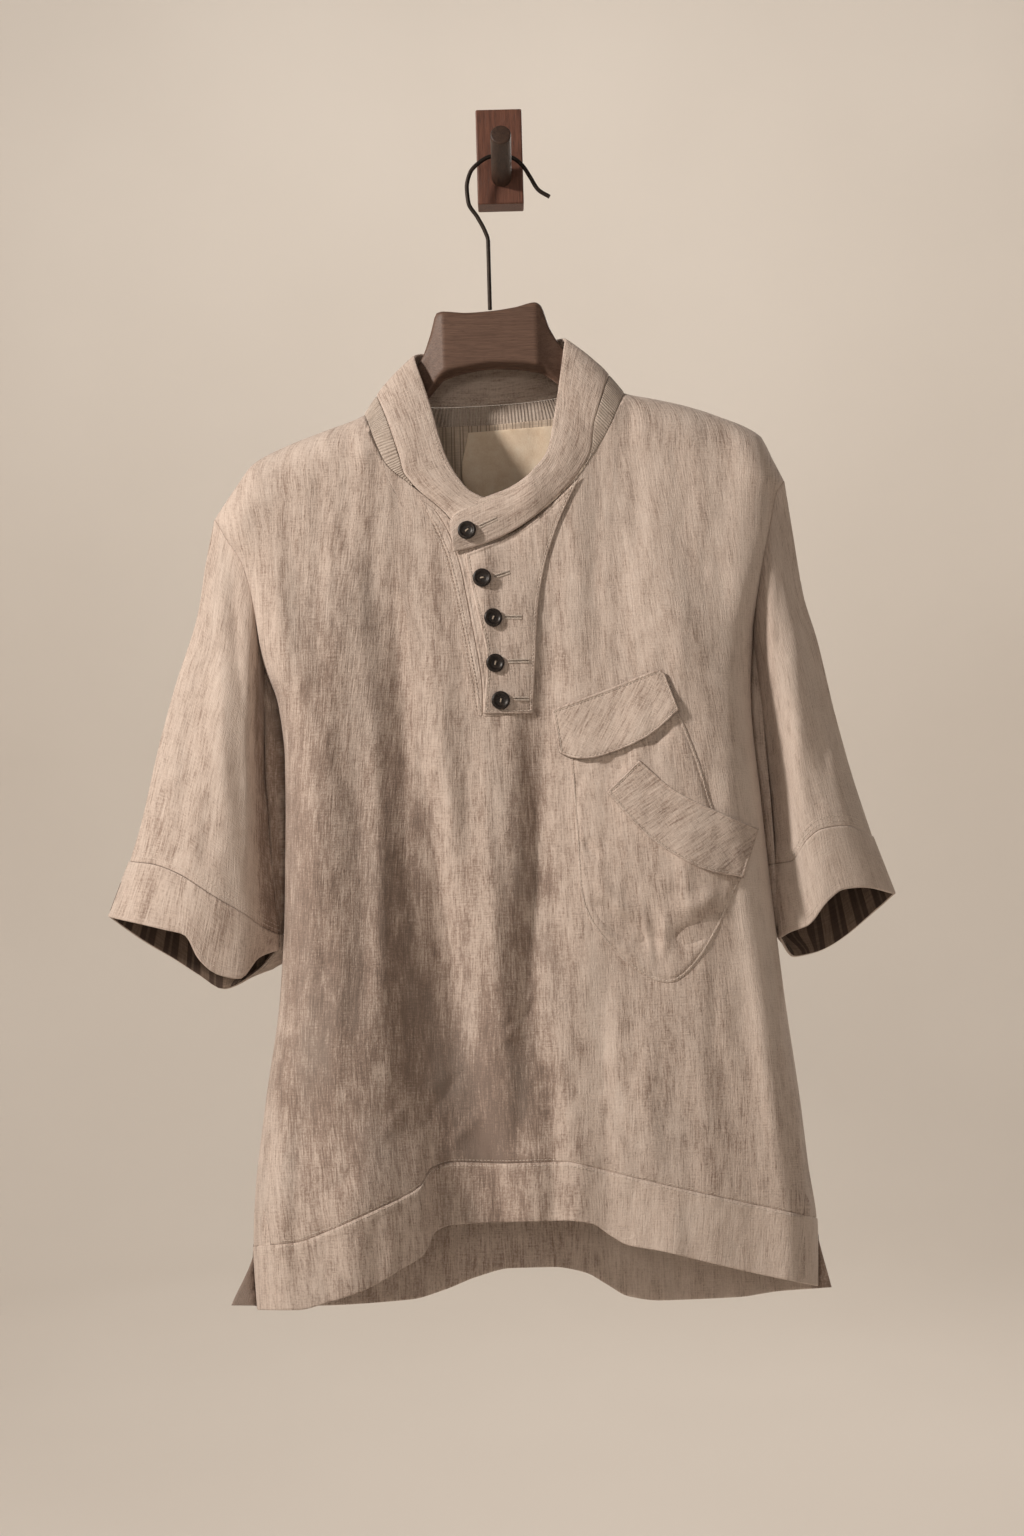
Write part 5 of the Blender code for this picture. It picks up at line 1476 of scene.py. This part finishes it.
sleeve_pieces = {}
sleeve_stitches = []
for number, (side, sleeve) in enumerate(SLEEVES.items()):
    across = (1 - np.cos(np.linspace(0, math.pi, SLEEVE_COLUMNS + 1))) / 2
    down = np.linspace(0, 1, SLEEVE_ROWS + 1)
    clear = (-GAP, 0, 0) if side == "left" else (GAP, 0, 0)
    outer, inner = along(sleeve.outer, down), along(sleeve.inner, down)
    down_fade = ramp(down / 0.07) * (0.35 + 0.65 * ramp((1 - down) / 0.1))
    halves = []
    for seam, towards in ((sleeve.seam_front, -1), (sleeve.seam_rear, 1)):
        hole = armhole(side, across, towards) + clear
        half = half_tube(hole[:, :2], along(seam, across), outer, inner, across, down, down, towards)
        half = half + (hole[None] - half[:1]) * (1 - down)[:, None, None]
        if towards > 0:
            half = filled(half, side, across, ramp(down / 0.05))
        halves.append(creased_half(half, side, towards, down_fade, 50 + 10 * number))
    body, body_uv = outwards(*tube(*halves), side)
    down = np.linspace(0, 1, CUFF_ROWS + 1)
    outer, inner = (along((sleeve.seam_front[end], sleeve.edge_front[end]), down) for end in (0, -1))
    halves = []
    for seam, edge, towards in (
        (sleeve.seam_front, sleeve.edge_front, -1), (sleeve.seam_rear, sleeve.edge_rear, 1),
    ):
        start, end = along(seam, across), along(edge, across)
        half = half_tube(start, end, outer, inner, across, down, np.ones(len(down)), towards)
        if towards > 0:
            half = filled(half, side, across, ramp((1 - down) / 0.3))
        halves.append(creased_half(half, side, towards, 0.35 + 0.2 * down, 50 + 10 * number))
    cuff, cuff_uv = outwards(*tube(*halves), side)
    sleeve_pieces[side] = (
        panel_piece("sleeve_" + side, body, body_uv + (1.7 + number, 0.2), (0.1, GAP / 2), closed=True),
        panel_piece(
            "cuff_" + side, cuff, cuff_uv + (2.4 + number, 0.6), (GAP / 2,),
            thickness=2.0, closed=True, shift=0.6,
        ),
        shell(f"cuff_facing_{side}_cloth", pulled_back(cuff, 1.5, 0.8), cuff_uv, FACING_PAINTED_SHADE, "striped_facing",
              "cuff_facing_" + side, thickness=0.9, closed=True, shift=-1.1),
    )
    sleeve_stitches += [
        ring_stitches(body, 0.984, CLOTH / 2 + 0.1), ring_stitches(body, 0.967, CLOTH / 2 + 0.1),
        ring_stitches(cuff, 0.9, 1.7),
    ]


def right_sleeve_painted_light(u, v):
    """Painted light, paler away from the body."""
    return -0.35 * ramp((u - 206) / 10)


def left_sleeve_painted_light_and_shade(u, v):
    """Low down, painted shade along the body, with painted light on the crease beside it."""
    return (0.55 * ramp((u + 211) / 6) - 0.6 * hill((u + 224) / 12)) * ramp((-380 - v) / 60)


# Painted light on the right sleeve and its cuff; painted shade and painted light on the left sleeve.
for piece in sleeve_pieces["right"][:2]:
    paint_dye_and_shade(piece, right_sleeve_painted_light)
paint_dye_and_shade(sleeve_pieces["left"][0], left_sleeve_painted_light_and_shade)


# ---------------------------------------------------------------------------------------------
# The collar: a folded band over a narrow stand.
# ---------------------------------------------------------------------------------------------

# The tab past the neck seam, drawn: its lower and its upper edge.
TAB = (
    ((0, -316), (0, -280)), ((-22, -325), (-22, -288)), ((-36, -328.5), (-36, -294.5)),
    ((-41, -329.5), (-41.5, -297.5)), ((-44, -330), (-45, -301)), ((-45.5, -330), (-47.5, -307)),
)
TAB_LIFT = 3.8  # how far the tab stands in front of the front panel
COLLAR_BOW = 3.0  # how far the band bows outwards between its edges
BAND, STAND = 2.4, 1.6  # their thicknesses
NECK_MIDDLE = place(-12, -230, -45)
STATION_SPACING = 2.4
BAND_CELLS, STAND_CELLS = 14, 6
BAND_HEIGHT = 40  # about, for its ripples
COLLAR_FLAT = 0.2  # share of the height, at each edge, over which its ripples begin


def collar_part(points, u, v, y, backwards):
    """(seam, top, stand) rows at a panel's own neck points that these collar points cover."""
    ends = [row.seam_u for row in points]
    neck = [p for p in zip(u, v, y) if min(ends) - 1 < p[0] < max(ends) + 1]
    rows = []
    for at_u, at_v, at_y in neck[::-1] if backwards else neck:
        lift, top_u, top_v, top_y, stand = (
            float(through([(row.seam_u, row[i]) for row in points], at_u)) for i in range(1, 6)
        )
        rows.append((*place(at_u, at_v, at_y - lift), *place(top_u, top_v, top_y), stand))
    return rows


def tab_part():
    rows = []
    for (low_u, low_v), (high_u, high_v) in TAB:
        low = place(low_u, low_v, front_depth(low_u, low_v) - TAB_LIFT)
        rows.append((*low, *place(high_u, high_v, front_depth(high_u, high_v) - TAB_LIFT), 0.0))
    return rows


def across_collar(stations, low, high, cells, ripple):
    """The collar's surface between two shares of its height, which may change along it."""
    seam, top = stations[:, :3], stations[:, 3:6]
    sideways = np.cross(np.gradient(seam, axis=0), top - seam)
    sideways /= np.linalg.norm(sideways, axis=-1, keepdims=True)
    sideways *= np.sign(((seam - NECK_MIDDLE) * sideways).sum(-1, keepdims=True))
    at = np.arange(len(stations)) * STATION_SPACING
    rows = []
    for t in np.linspace(0, 1, cells + 1):
        share = low + (high - low) * t
        height = at * 0 + BAND_HEIGHT * t
        wave = ripple * (noise(at, height, 17, 22, 61) + 0.4 * noise(at, height, 5, 7, 62))
        ends = ramp(t / COLLAR_FLAT) * ramp((1 - t) / COLLAR_FLAT)
        lift = COLLAR_BOW * 4 * share * (1 - share) + wave * ends
        rows.append(seam + (top - seam) * share[:, None] + sideways * lift[:, None] * MM)
    return np.array(rows)


front_top = (front_u[-1], front_v[-1], front_surface(front_u, front_v)[-1])
back_top = (back_u[-1], back_v[-1], back_surface(back_u, back_v)[-1])
stations = np.array(
    collar_part(COLLAR_LEFT, *front_top, True) + collar_part(COLLAR_BACK, *back_top, False)
    + collar_part(COLLAR_RIGHT, *front_top, True) + tab_part()
)
reach = 0.5 * lengths_along(stations[:, :3]) + 0.5 * lengths_along(stations[:, 3:6])
at = np.linspace(0, reach[-1], round(reach[-1] / MM / STATION_SPACING))
stations = np.stack([through(list(zip(reach, column)), at) for column in stations.T], -1)
stand_share = stations[:, 6]
band_points = across_collar(stations, stand_share, np.ones(len(stations)), BAND_CELLS, 0.55)
height_of_band = np.linalg.norm(band_points[-1] - band_points[0], axis=-1).mean()
band_uv = np.stack(np.meshgrid(np.linspace(0, height_of_band, BAND_CELLS + 1), at, indexing="ij"), -1)
band_edge = np.where(stand_share > 0, GAP / 2, 0.3)[:, None]
band = panel_piece("collar_band", band_points, band_uv + (0.05, 3.1), (band_edge,), thickness=BAND)
has_stand = np.flatnonzero(stand_share > 0.04)
stand_run = slice(has_stand[0], has_stand[-1] + 1)
stand_points = across_collar(stations, np.zeros(len(stations)), stand_share, STAND_CELLS, 0.3)
stand_uv = np.stack(np.meshgrid(np.linspace(0, 0.02, STAND_CELLS + 1), at[stand_run], indexing="ij"), -1)
stand = shell(
    "collar_stand_cloth", pulled_back(stand_points[:, stand_run], 0.3, GAP / 2),
    stand_uv[..., ::-1] + (4.2, 0.3), RIBBED, "ribbed_linen", "collar_stand", thickness=STAND,
)


def band_route(share, height):
    """A route along the collar band at that share of its height, on its outer side."""
    normal = normals_of(band_points, False)[int(share * BAND_CELLS)]
    return grid_row(band_points, share) + normal * height * MM


collar_stitches = [
    band_route(share, side * BAND / 2) for share, side in ((0.9, 1), (0.05, 1), (0.13, 1), (0.9, -1))
]


# ---------------------------------------------------------------------------------------------
# Buttons and buttonholes.
# ---------------------------------------------------------------------------------------------

# Each button's centre, how far it lies in front of the front panel or that it is on the collar's
# tab, the angle of its thread and the left and right ends of its buttonhole.
Button = namedtuple("Button", "u v height thread_angle hole_left hole_right")
ON_TAB = None
ON_OVERLAP = FLAP_HEIGHT + 0.8
BUTTONS = table(
    Button,
    (-34, -313, ON_TAB, 35, (-24, -310), (-10, -304)),
    (-23, -352, ON_OVERLAP, 8, (-13, -350.5), (-1, -347)),
    (-16, -384, ON_OVERLAP, 66, (-6, -383), (8, -383.5)),
    (-15, -420, ON_OVERLAP, 72, (-4, -418.5), (13, -418.5)),
    (-11, -450, ON_OVERLAP, 80, (0, -448.5), (12, -449)),
)
# Radius and height, from the dish over the rim to the back.
BUTTON_PROFILE = (
    (0, 1.55), (2.6, 1.6), (4.2, 1.8), (4.8, 2.3), (5.2, 2.75), (5.7, 2.98), (6.3, 2.95), (6.9, 2.6),
    (7.3, 2.0), (7.4, 1.4), (7.1, 0.7), (6.2, 0.1), (5.6, 0.0), (0, 0),
)
HOLE_RADIUS, HOLE_OFFSET, BUTTON_SEGMENTS = 0.85, 1.6, 56


def spun(name, profile, segments):
    """A mesh turned about z from (radius, height) rows, in metres."""
    bm = bmesh.new()
    verts = [bm.verts.new((radius, 0, height)) for radius, height in profile]
    for a, b in zip(verts, verts[1:]):
        bm.edges.new((a, b))
    bmesh.ops.spin(
        bm, geom=bm.verts[:] + bm.edges[:], cent=(0, 0, 0), axis=(0, 0, 1), angle=2 * math.pi,
        steps=segments, use_merge=True,
    )
    bmesh.ops.remove_doubles(bm, verts=bm.verts, dist=0.00001)
    bmesh.ops.recalc_face_normals(bm, faces=bm.faces)
    mesh = bpy.data.meshes.new(name)
    bm.to_mesh(mesh)
    bm.free()
    return mesh


def button_mesh():
    """A button with its back on z = 0, turned and then drilled, as a mesh."""
    profile = [(radius * MM, height * MM) for radius, height in BUTTON_PROFILE]
    turned = linked("button_turned", spun("button_turned", profile, BUTTON_SEGMENTS))
    drills = []
    for side in (-1, 1):
        bpy.ops.mesh.primitive_cylinder_add(
            vertices=20, radius=HOLE_RADIUS * MM, depth=0.02, location=(side * HOLE_OFFSET * MM, 0, 0)
        )
        drills.append(bpy.context.object)
        drill = turned.modifiers.new("drill", "BOOLEAN")
        drill.object = drills[-1]
        drill.solver = "EXACT"
    bpy.context.view_layer.update()
    mesh = bpy.data.meshes.new_from_object(turned.evaluated_get(bpy.context.evaluated_depsgraph_get()))
    for helper in (turned, *drills):
        bpy.data.objects.remove(helper)
    mesh.materials.clear()
    mesh.materials.append(HORN)
    mesh.shade_smooth()
    mesh.set_sharp_from_angle(angle=math.radians(38))
    return mesh


def smooth_slope(u, v, surface):
    """The placed point and the unit normal of a surface at (u, v), over a button's width."""
    right, left = (place(u + d, v, surface(u + d, v)) for d in (SLOPE_REACH, -SLOPE_REACH))
    up, down = (place(u, v + d, surface(u, v + d)) for d in (SLOPE_REACH, -SLOPE_REACH))
    normal = np.cross(right - left, up - down)
    return place(u, v, surface(u, v)), normal / np.linalg.norm(normal)


def seated(u, v, height):
    """The point where (u, v) is drawn, that far in front of the collar's tab."""
    ray = Vector(place(u, v, DRAWN_AT) - VIEWPOINT * MM).normalized()
    point, *_ = band_tree.ray_cast(Vector(VIEWPOINT * MM), ray)
    return np.array(point - ray * height * MM)


def over_cloth(button, point, lift):
    """A drawn point a little in front of the cloth that the button lies on."""
    if button.height is ON_TAB:
        return seated(*point, lift.on_tab)
    return place(*point, front_surface(*point) - button.height - lift.on_front)


def button_place(button):
    """A button's place and turn in the world."""
    point, normal = smooth_slope(button.u, button.v, front_surface)
    if button.height is ON_TAB:
        centre = seated(button.u, button.v, TAB_SEAT)
    else:
        centre = point + normal * button.height * MM
    turn_to_normal = Vector(normal).to_track_quat("Z", "Y").to_matrix().to_4x4()
    spin = Matrix.Rotation(math.radians(button.thread_angle), 4, "Z")
    return Matrix.Translation(Vector(centre)) @ turn_to_normal @ spin


SLOPE_REACH = 6.0
TAB_SEAT = 0.4
Lift = namedtuple("Lift", "on_front on_tab")
STITCH_LIFT, SLIT_LIFT = Lift(0.05, 0.2), Lift(-0.05, 0.15)
THREAD_OFFSETS, THREAD_HEIGHT = (-0.3, 0.0, 0.3), 1.85
HOLE_STITCH_PITCH, HOLE_STITCH_FROM, HOLE_STITCH_TO = 0.62, 0.35, 1.7
band_tree = BVHTree.FromObject(band, bpy.context.evaluated_depsgraph_get())
button_form = button_mesh()
Threads = namedtuple("Threads", "starts ends")
button_threads, hole_stitches, slit_shades = (Threads([], []) for _ in range(3))
for number, button in enumerate(BUTTONS, 1):
    where = button_place(button)
    obj = linked(f"button_{number}_horn", button_form.copy())
    obj.matrix_world = where
    stated(obj, f"button_{number}")
    for offset in THREAD_OFFSETS:
        for x, into in zip((-HOLE_OFFSET, HOLE_OFFSET), button_threads):
            into.append(where @ Vector((x * MM, offset * MM, THREAD_HEIGHT * MM)))
    left, right = np.array(button.hole_left, float), np.array(button.hole_right, float)
    length = np.linalg.norm(right - left)
    run = (right - left) / length
    aside = np.array((-run[1], run[0]))
    for side in (-1, 1):
        for along_it in np.arange(0, length, HOLE_STITCH_PITCH):
            for reach, into in zip((HOLE_STITCH_FROM, HOLE_STITCH_TO), hole_stitches):
                point = left + run * along_it + aside * side * reach
                into.append(over_cloth(button, point, STITCH_LIFT))
    for point, into in zip((left, right), slit_shades):
        into.append(over_cloth(button, point, SLIT_LIFT))

for name, routes in (
    ("body_stitches", panel_stitches), ("placket_stitches", placket_stitches),
    ("pocket_stitches", pocket_stitches), ("sleeve_stitches", sleeve_stitches),
    ("collar_stitches", collar_stitches),
):
    capsules(name, *stitched(routes), THREAD_RADIUS, THREAD, "linen")
capsules("buttonhole_stitches", *hole_stitches, 0.27, THREAD, "linen")
capsules("buttonhole_slit_shades", *slit_shades, 0.2, SHADE, "linen")
capsules("button_threads", *button_threads, 0.28, BUTTON_THREAD, "horn")


# ---------------------------------------------------------------------------------------------
# The hanger, its hook, and the block and peg on the wall.
# ---------------------------------------------------------------------------------------------

SEAT = 2.5  # from the shoulder line down to the hanger that carries it
SECTION_POINTS = 64
HEAD_BEVEL = 9.0  # how far the head's lower edge is cut back
WING_RECESS = 7.0  # how much the wings' front stands back from the head's flat face
HEAD_LEFT, HEAD_RIGHT = -49, 25
HEAD_SIDE = 20  # the recess begins over this much beside the head
BEVEL_FROM = 0.7  # the bevel begins this share of the way down
BEVEL_REACH, WING_REACH = 60, 150  # how far from the middle the bevel and the recess end


def hanger_rings():
    """The hanger's sections, closely spaced, each as placed points round it."""
    places = finer([row.u for row in HANGER], 2.0)
    fields = [through([(row.u, row[i]) for row in HANGER], places) for i in range(1, 6)]
    turn = np.linspace(0, 2 * math.pi, SECTION_POINTS, endpoint=False) + math.pi / 2
    rings = []
    for u, top, bottom, middle, half_depth, squareness in zip(places, *fields):
        if not FRONT_NECK[0][0] < u < FRONT_NECK[-1][0]:
            top = min(top, shoulder_line(u) - SEAT)
        from_head = max(HEAD_LEFT - u, u - HEAD_RIGHT, 0)
        recess = WING_RECESS * min(from_head / HEAD_SIDE, 1) * ramp((WING_REACH - abs(u)) / 60)
        reach = np.abs(np.stack((np.cos(turn), np.sin(turn)))) ** (2 / squareness)
        across, up = np.sign(np.cos(turn)) * reach[0], np.sign(np.sin(turn)) * reach[1]
        v = (top + bottom) / 2 + (top - bottom) / 2 * up
        at_head = ramp((BEVEL_REACH - abs(u - (HEAD_LEFT + HEAD_RIGHT) / 2)) / HEAD_SIDE)
        lower_bevel = HEAD_BEVEL * ramp((-up - BEVEL_FROM) / (1 - BEVEL_FROM)) * at_head
        y = middle + half_depth * across + np.where(across < 0, (recess + lower_bevel) * -across, 0)
        rings.append(place(u, v, y))
    return np.array(rings)


def lofted(name, rings, material, node, sharp):
    """A closed body through rings of points, with flat ends."""
    count, size = rings.shape[:2]
    faces = []
    for i in range(count - 1):
        for j in range(size):
            k = (j + 1) % size
            faces.append((i * size + j, i * size + k, (i + 1) * size + k, (i + 1) * size + j))
    faces.append(tuple(range(size - 1, -1, -1)))
    faces.append(tuple((count - 1) * size + j for j in range(size)))
    obj = made(name, rings.reshape(-1, 3), faces, None, material, node)
    bm = bmesh.new()
    bm.from_mesh(obj.data)
    bmesh.ops.recalc_face_normals(bm, faces=bm.faces)
    bm.to_mesh(obj.data)
    bm.free()
    obj.data.set_sharp_from_angle(angle=math.radians(sharp))


def swept(route, radius, sides):
    """Rings of points round a placed route."""
    ahead = np.gradient(route, axis=0)
    ahead /= np.linalg.norm(ahead, axis=1, keepdims=True)
    over = np.cross(ahead, (0, 1, 0))
    over /= np.linalg.norm(over, axis=1, keepdims=True)
    aside = np.cross(ahead, over)
    turn = np.linspace(0, 2 * math.pi, sides, endpoint=False)
    round_it = over[:, None] * np.cos(turn)[:, None] + aside[:, None] * np.sin(turn)[:, None]
    return route[:, None] + radius * MM * round_it


HOOK_POINTS, HOOK_SIDES, WIRE_RADIUS = 150, 16, 1.7
lofted("hanger_body_wood", hanger_rings(), WALNUT, "hanger_body", 50)
hook_route = place(*along(HOOK, np.linspace(0, 1, HOOK_POINTS)).T, HANG_DEPTH)
hook_rings = swept(hook_route, WIRE_RADIUS, HOOK_SIDES)
lofted("hanger_hook_wire", hook_rings, BRONZE, "hanger_hook", 60)

BLOCK_SIZE = (38.0, 24.0, 78.0)
PEG_RADIUS, PEG_LENGTH, PEG_TILT = 8.2, 66.0, math.radians(12)
PEG_FOOT, PEG_SUNK = (1, -31), 1.5
EDGE_ROUNDING = 1.3


def wall_block():
    """The block, with its edges slightly rounded and its back on the wall."""
    bpy.ops.mesh.primitive_cube_add(size=1, location=(0, -BLOCK_SIZE[1] / 2 * MM, 0))
    block = bpy.context.object
    block.name = block.data.name = "wall_block_wood"
    block.data.transform(Matrix.Diagonal([s * MM for s in BLOCK_SIZE] + [1]))
    bevel = block.modifiers.new("rounded_edges", "BEVEL")
    bevel.width = EDGE_ROUNDING * MM
    bevel.segments = 4
    block.data.materials.append(BLOCK)
    block.data.shade_smooth()
    block.data.set_sharp_from_angle(angle=math.radians(40))
    stated(block, "wall_block")


def round_peg():
    """The peg slants up out of the block's face."""
    foot = place(*PEG_FOOT, -BLOCK_SIZE[1])
    out = np.array((0, -math.cos(PEG_TILT), math.sin(PEG_TILT)))
    places = [-PEG_SUNK, *np.linspace(0, PEG_LENGTH - EDGE_ROUNDING, 14)]
    radii = [PEG_RADIUS] * len(places)
    for turn in np.linspace(0, math.pi / 2, 6)[1:]:
        places.append(PEG_LENGTH - EDGE_ROUNDING * (1 - math.sin(turn)))
        radii.append(PEG_RADIUS - EDGE_ROUNDING * (1 - math.cos(turn)))
    aside = np.array((1.0, 0, 0))
    over = np.cross(out, aside)
    turn = np.linspace(0, 2 * math.pi, 48, endpoint=False)
    circle = aside * np.cos(turn)[:, None] + over * np.sin(turn)[:, None]
    return np.array([foot + out * p * MM + circle * r * MM for p, r in zip(places, radii)])


wall_block()
lofted("wall_peg_wood", round_peg(), PEG, "wall_peg", 50)


# ---------------------------------------------------------------------------------------------
# Numbers for each sleeve's cut; the loop below only looks up each sleeve's pieces.
# ---------------------------------------------------------------------------------------------


SLEEVE_CUTS = {"left": (0.24, 0.29, 0.88), "right": (0.22, 0.25, 0.84)}
for side, (width, length, share) in SLEEVE_CUTS.items():
    body, cuff, cuff_facing = sleeve_pieces[side]


# ---------------------------------------------------------------------------------------------
# The stage, the lights and the camera.
# ---------------------------------------------------------------------------------------------

FLOOR_Z, BOWL_RADIUS, BOWL_HEIGHT, BOWL_CURVE = -1.75, 4.6, 4.2, 1.3


def bowl():
    """A pale floor that curves up into a round wall, around everything."""
    profile = [(0.0, 0.0), (BOWL_RADIUS - BOWL_CURVE, 0.0)]
    for turn in np.linspace(0, math.pi / 2, 16)[1:]:
        profile.append((BOWL_RADIUS - BOWL_CURVE * (1 - math.sin(turn)), BOWL_CURVE * (1 - math.cos(turn))))
    profile.append((BOWL_RADIUS, BOWL_HEIGHT))
    mesh = spun("floor_bowl", [(radius, FLOOR_Z + height) for radius, height in profile], 96)
    mesh.shade_smooth()
    mesh.materials.append(PLASTER)
    linked("floor_bowl", mesh)


SHIRT_MIDDLE = (0, -0.07, -0.5)
Light = namedtuple("Light", "name place aim size power colour")
LIGHTS = table(
    Light,
    ("key", (-1.8, -1.2, 0.68), SHIRT_MIDDLE, 0.26, 57, (1.0, 0.915, 0.83)),
    ("low_key", (-0.5, -1.9, -0.05), SHIRT_MIDDLE, 0.3, 2, (1.0, 0.915, 0.83)),
    ("fill", (1.9, -2.6, 0.6), SHIRT_MIDDLE, 2.2, 5, (1.0, 0.95, 0.9)),
    ("back_key", (1.5, 2.1, 0.9), SHIRT_MIDDLE, 0.5, 22, (1.0, 0.94, 0.88)),
    ("wall_wash", (0.0, 1.9, 1.9), (0.0, 4.5, 0.2), 2.4, 52, (1.0, 0.95, 0.89)),
)

bowl()
for row in LIGHTS:
    data = bpy.data.lights.new(row.name, "AREA")
    data.shape = "DISK"
    data.size = row.size
    data.energy = row.power
    data.color = row.colour
    light = linked(row.name, data)
    light.location = row.place
    light.rotation_euler = (Vector(row.aim) - Vector(row.place)).to_track_quat("-Z", "Y").to_euler()
world = bpy.data.worlds.new("studio")
world.use_nodes = True
background = world.node_tree.nodes["Background"]
background.inputs["Color"].default_value = (1.0, 0.93, 0.86, 1)
background.inputs["Strength"].default_value = 0.115
bpy.context.scene.world = world
bpy.context.scene.view_settings.view_transform = "Standard"

CAMERA_ROLL = math.radians(1.5)
camera_data = bpy.data.cameras.new("camera")
camera_data.sensor_fit = "VERTICAL"
camera_data.sensor_height = 36
camera_data.lens = 45
camera = linked("camera", camera_data)
right = Vector((math.cos(CAMERA_ROLL), 0, -math.sin(CAMERA_ROLL)))
up = Vector((math.sin(CAMERA_ROLL), 0, math.cos(CAMERA_ROLL)))
turned = Matrix((right, up, right.cross(up))).transposed()
camera.matrix_world = Matrix.Translation(VIEWPOINT * MM) @ turned.to_4x4()
bpy.context.scene.camera = camera
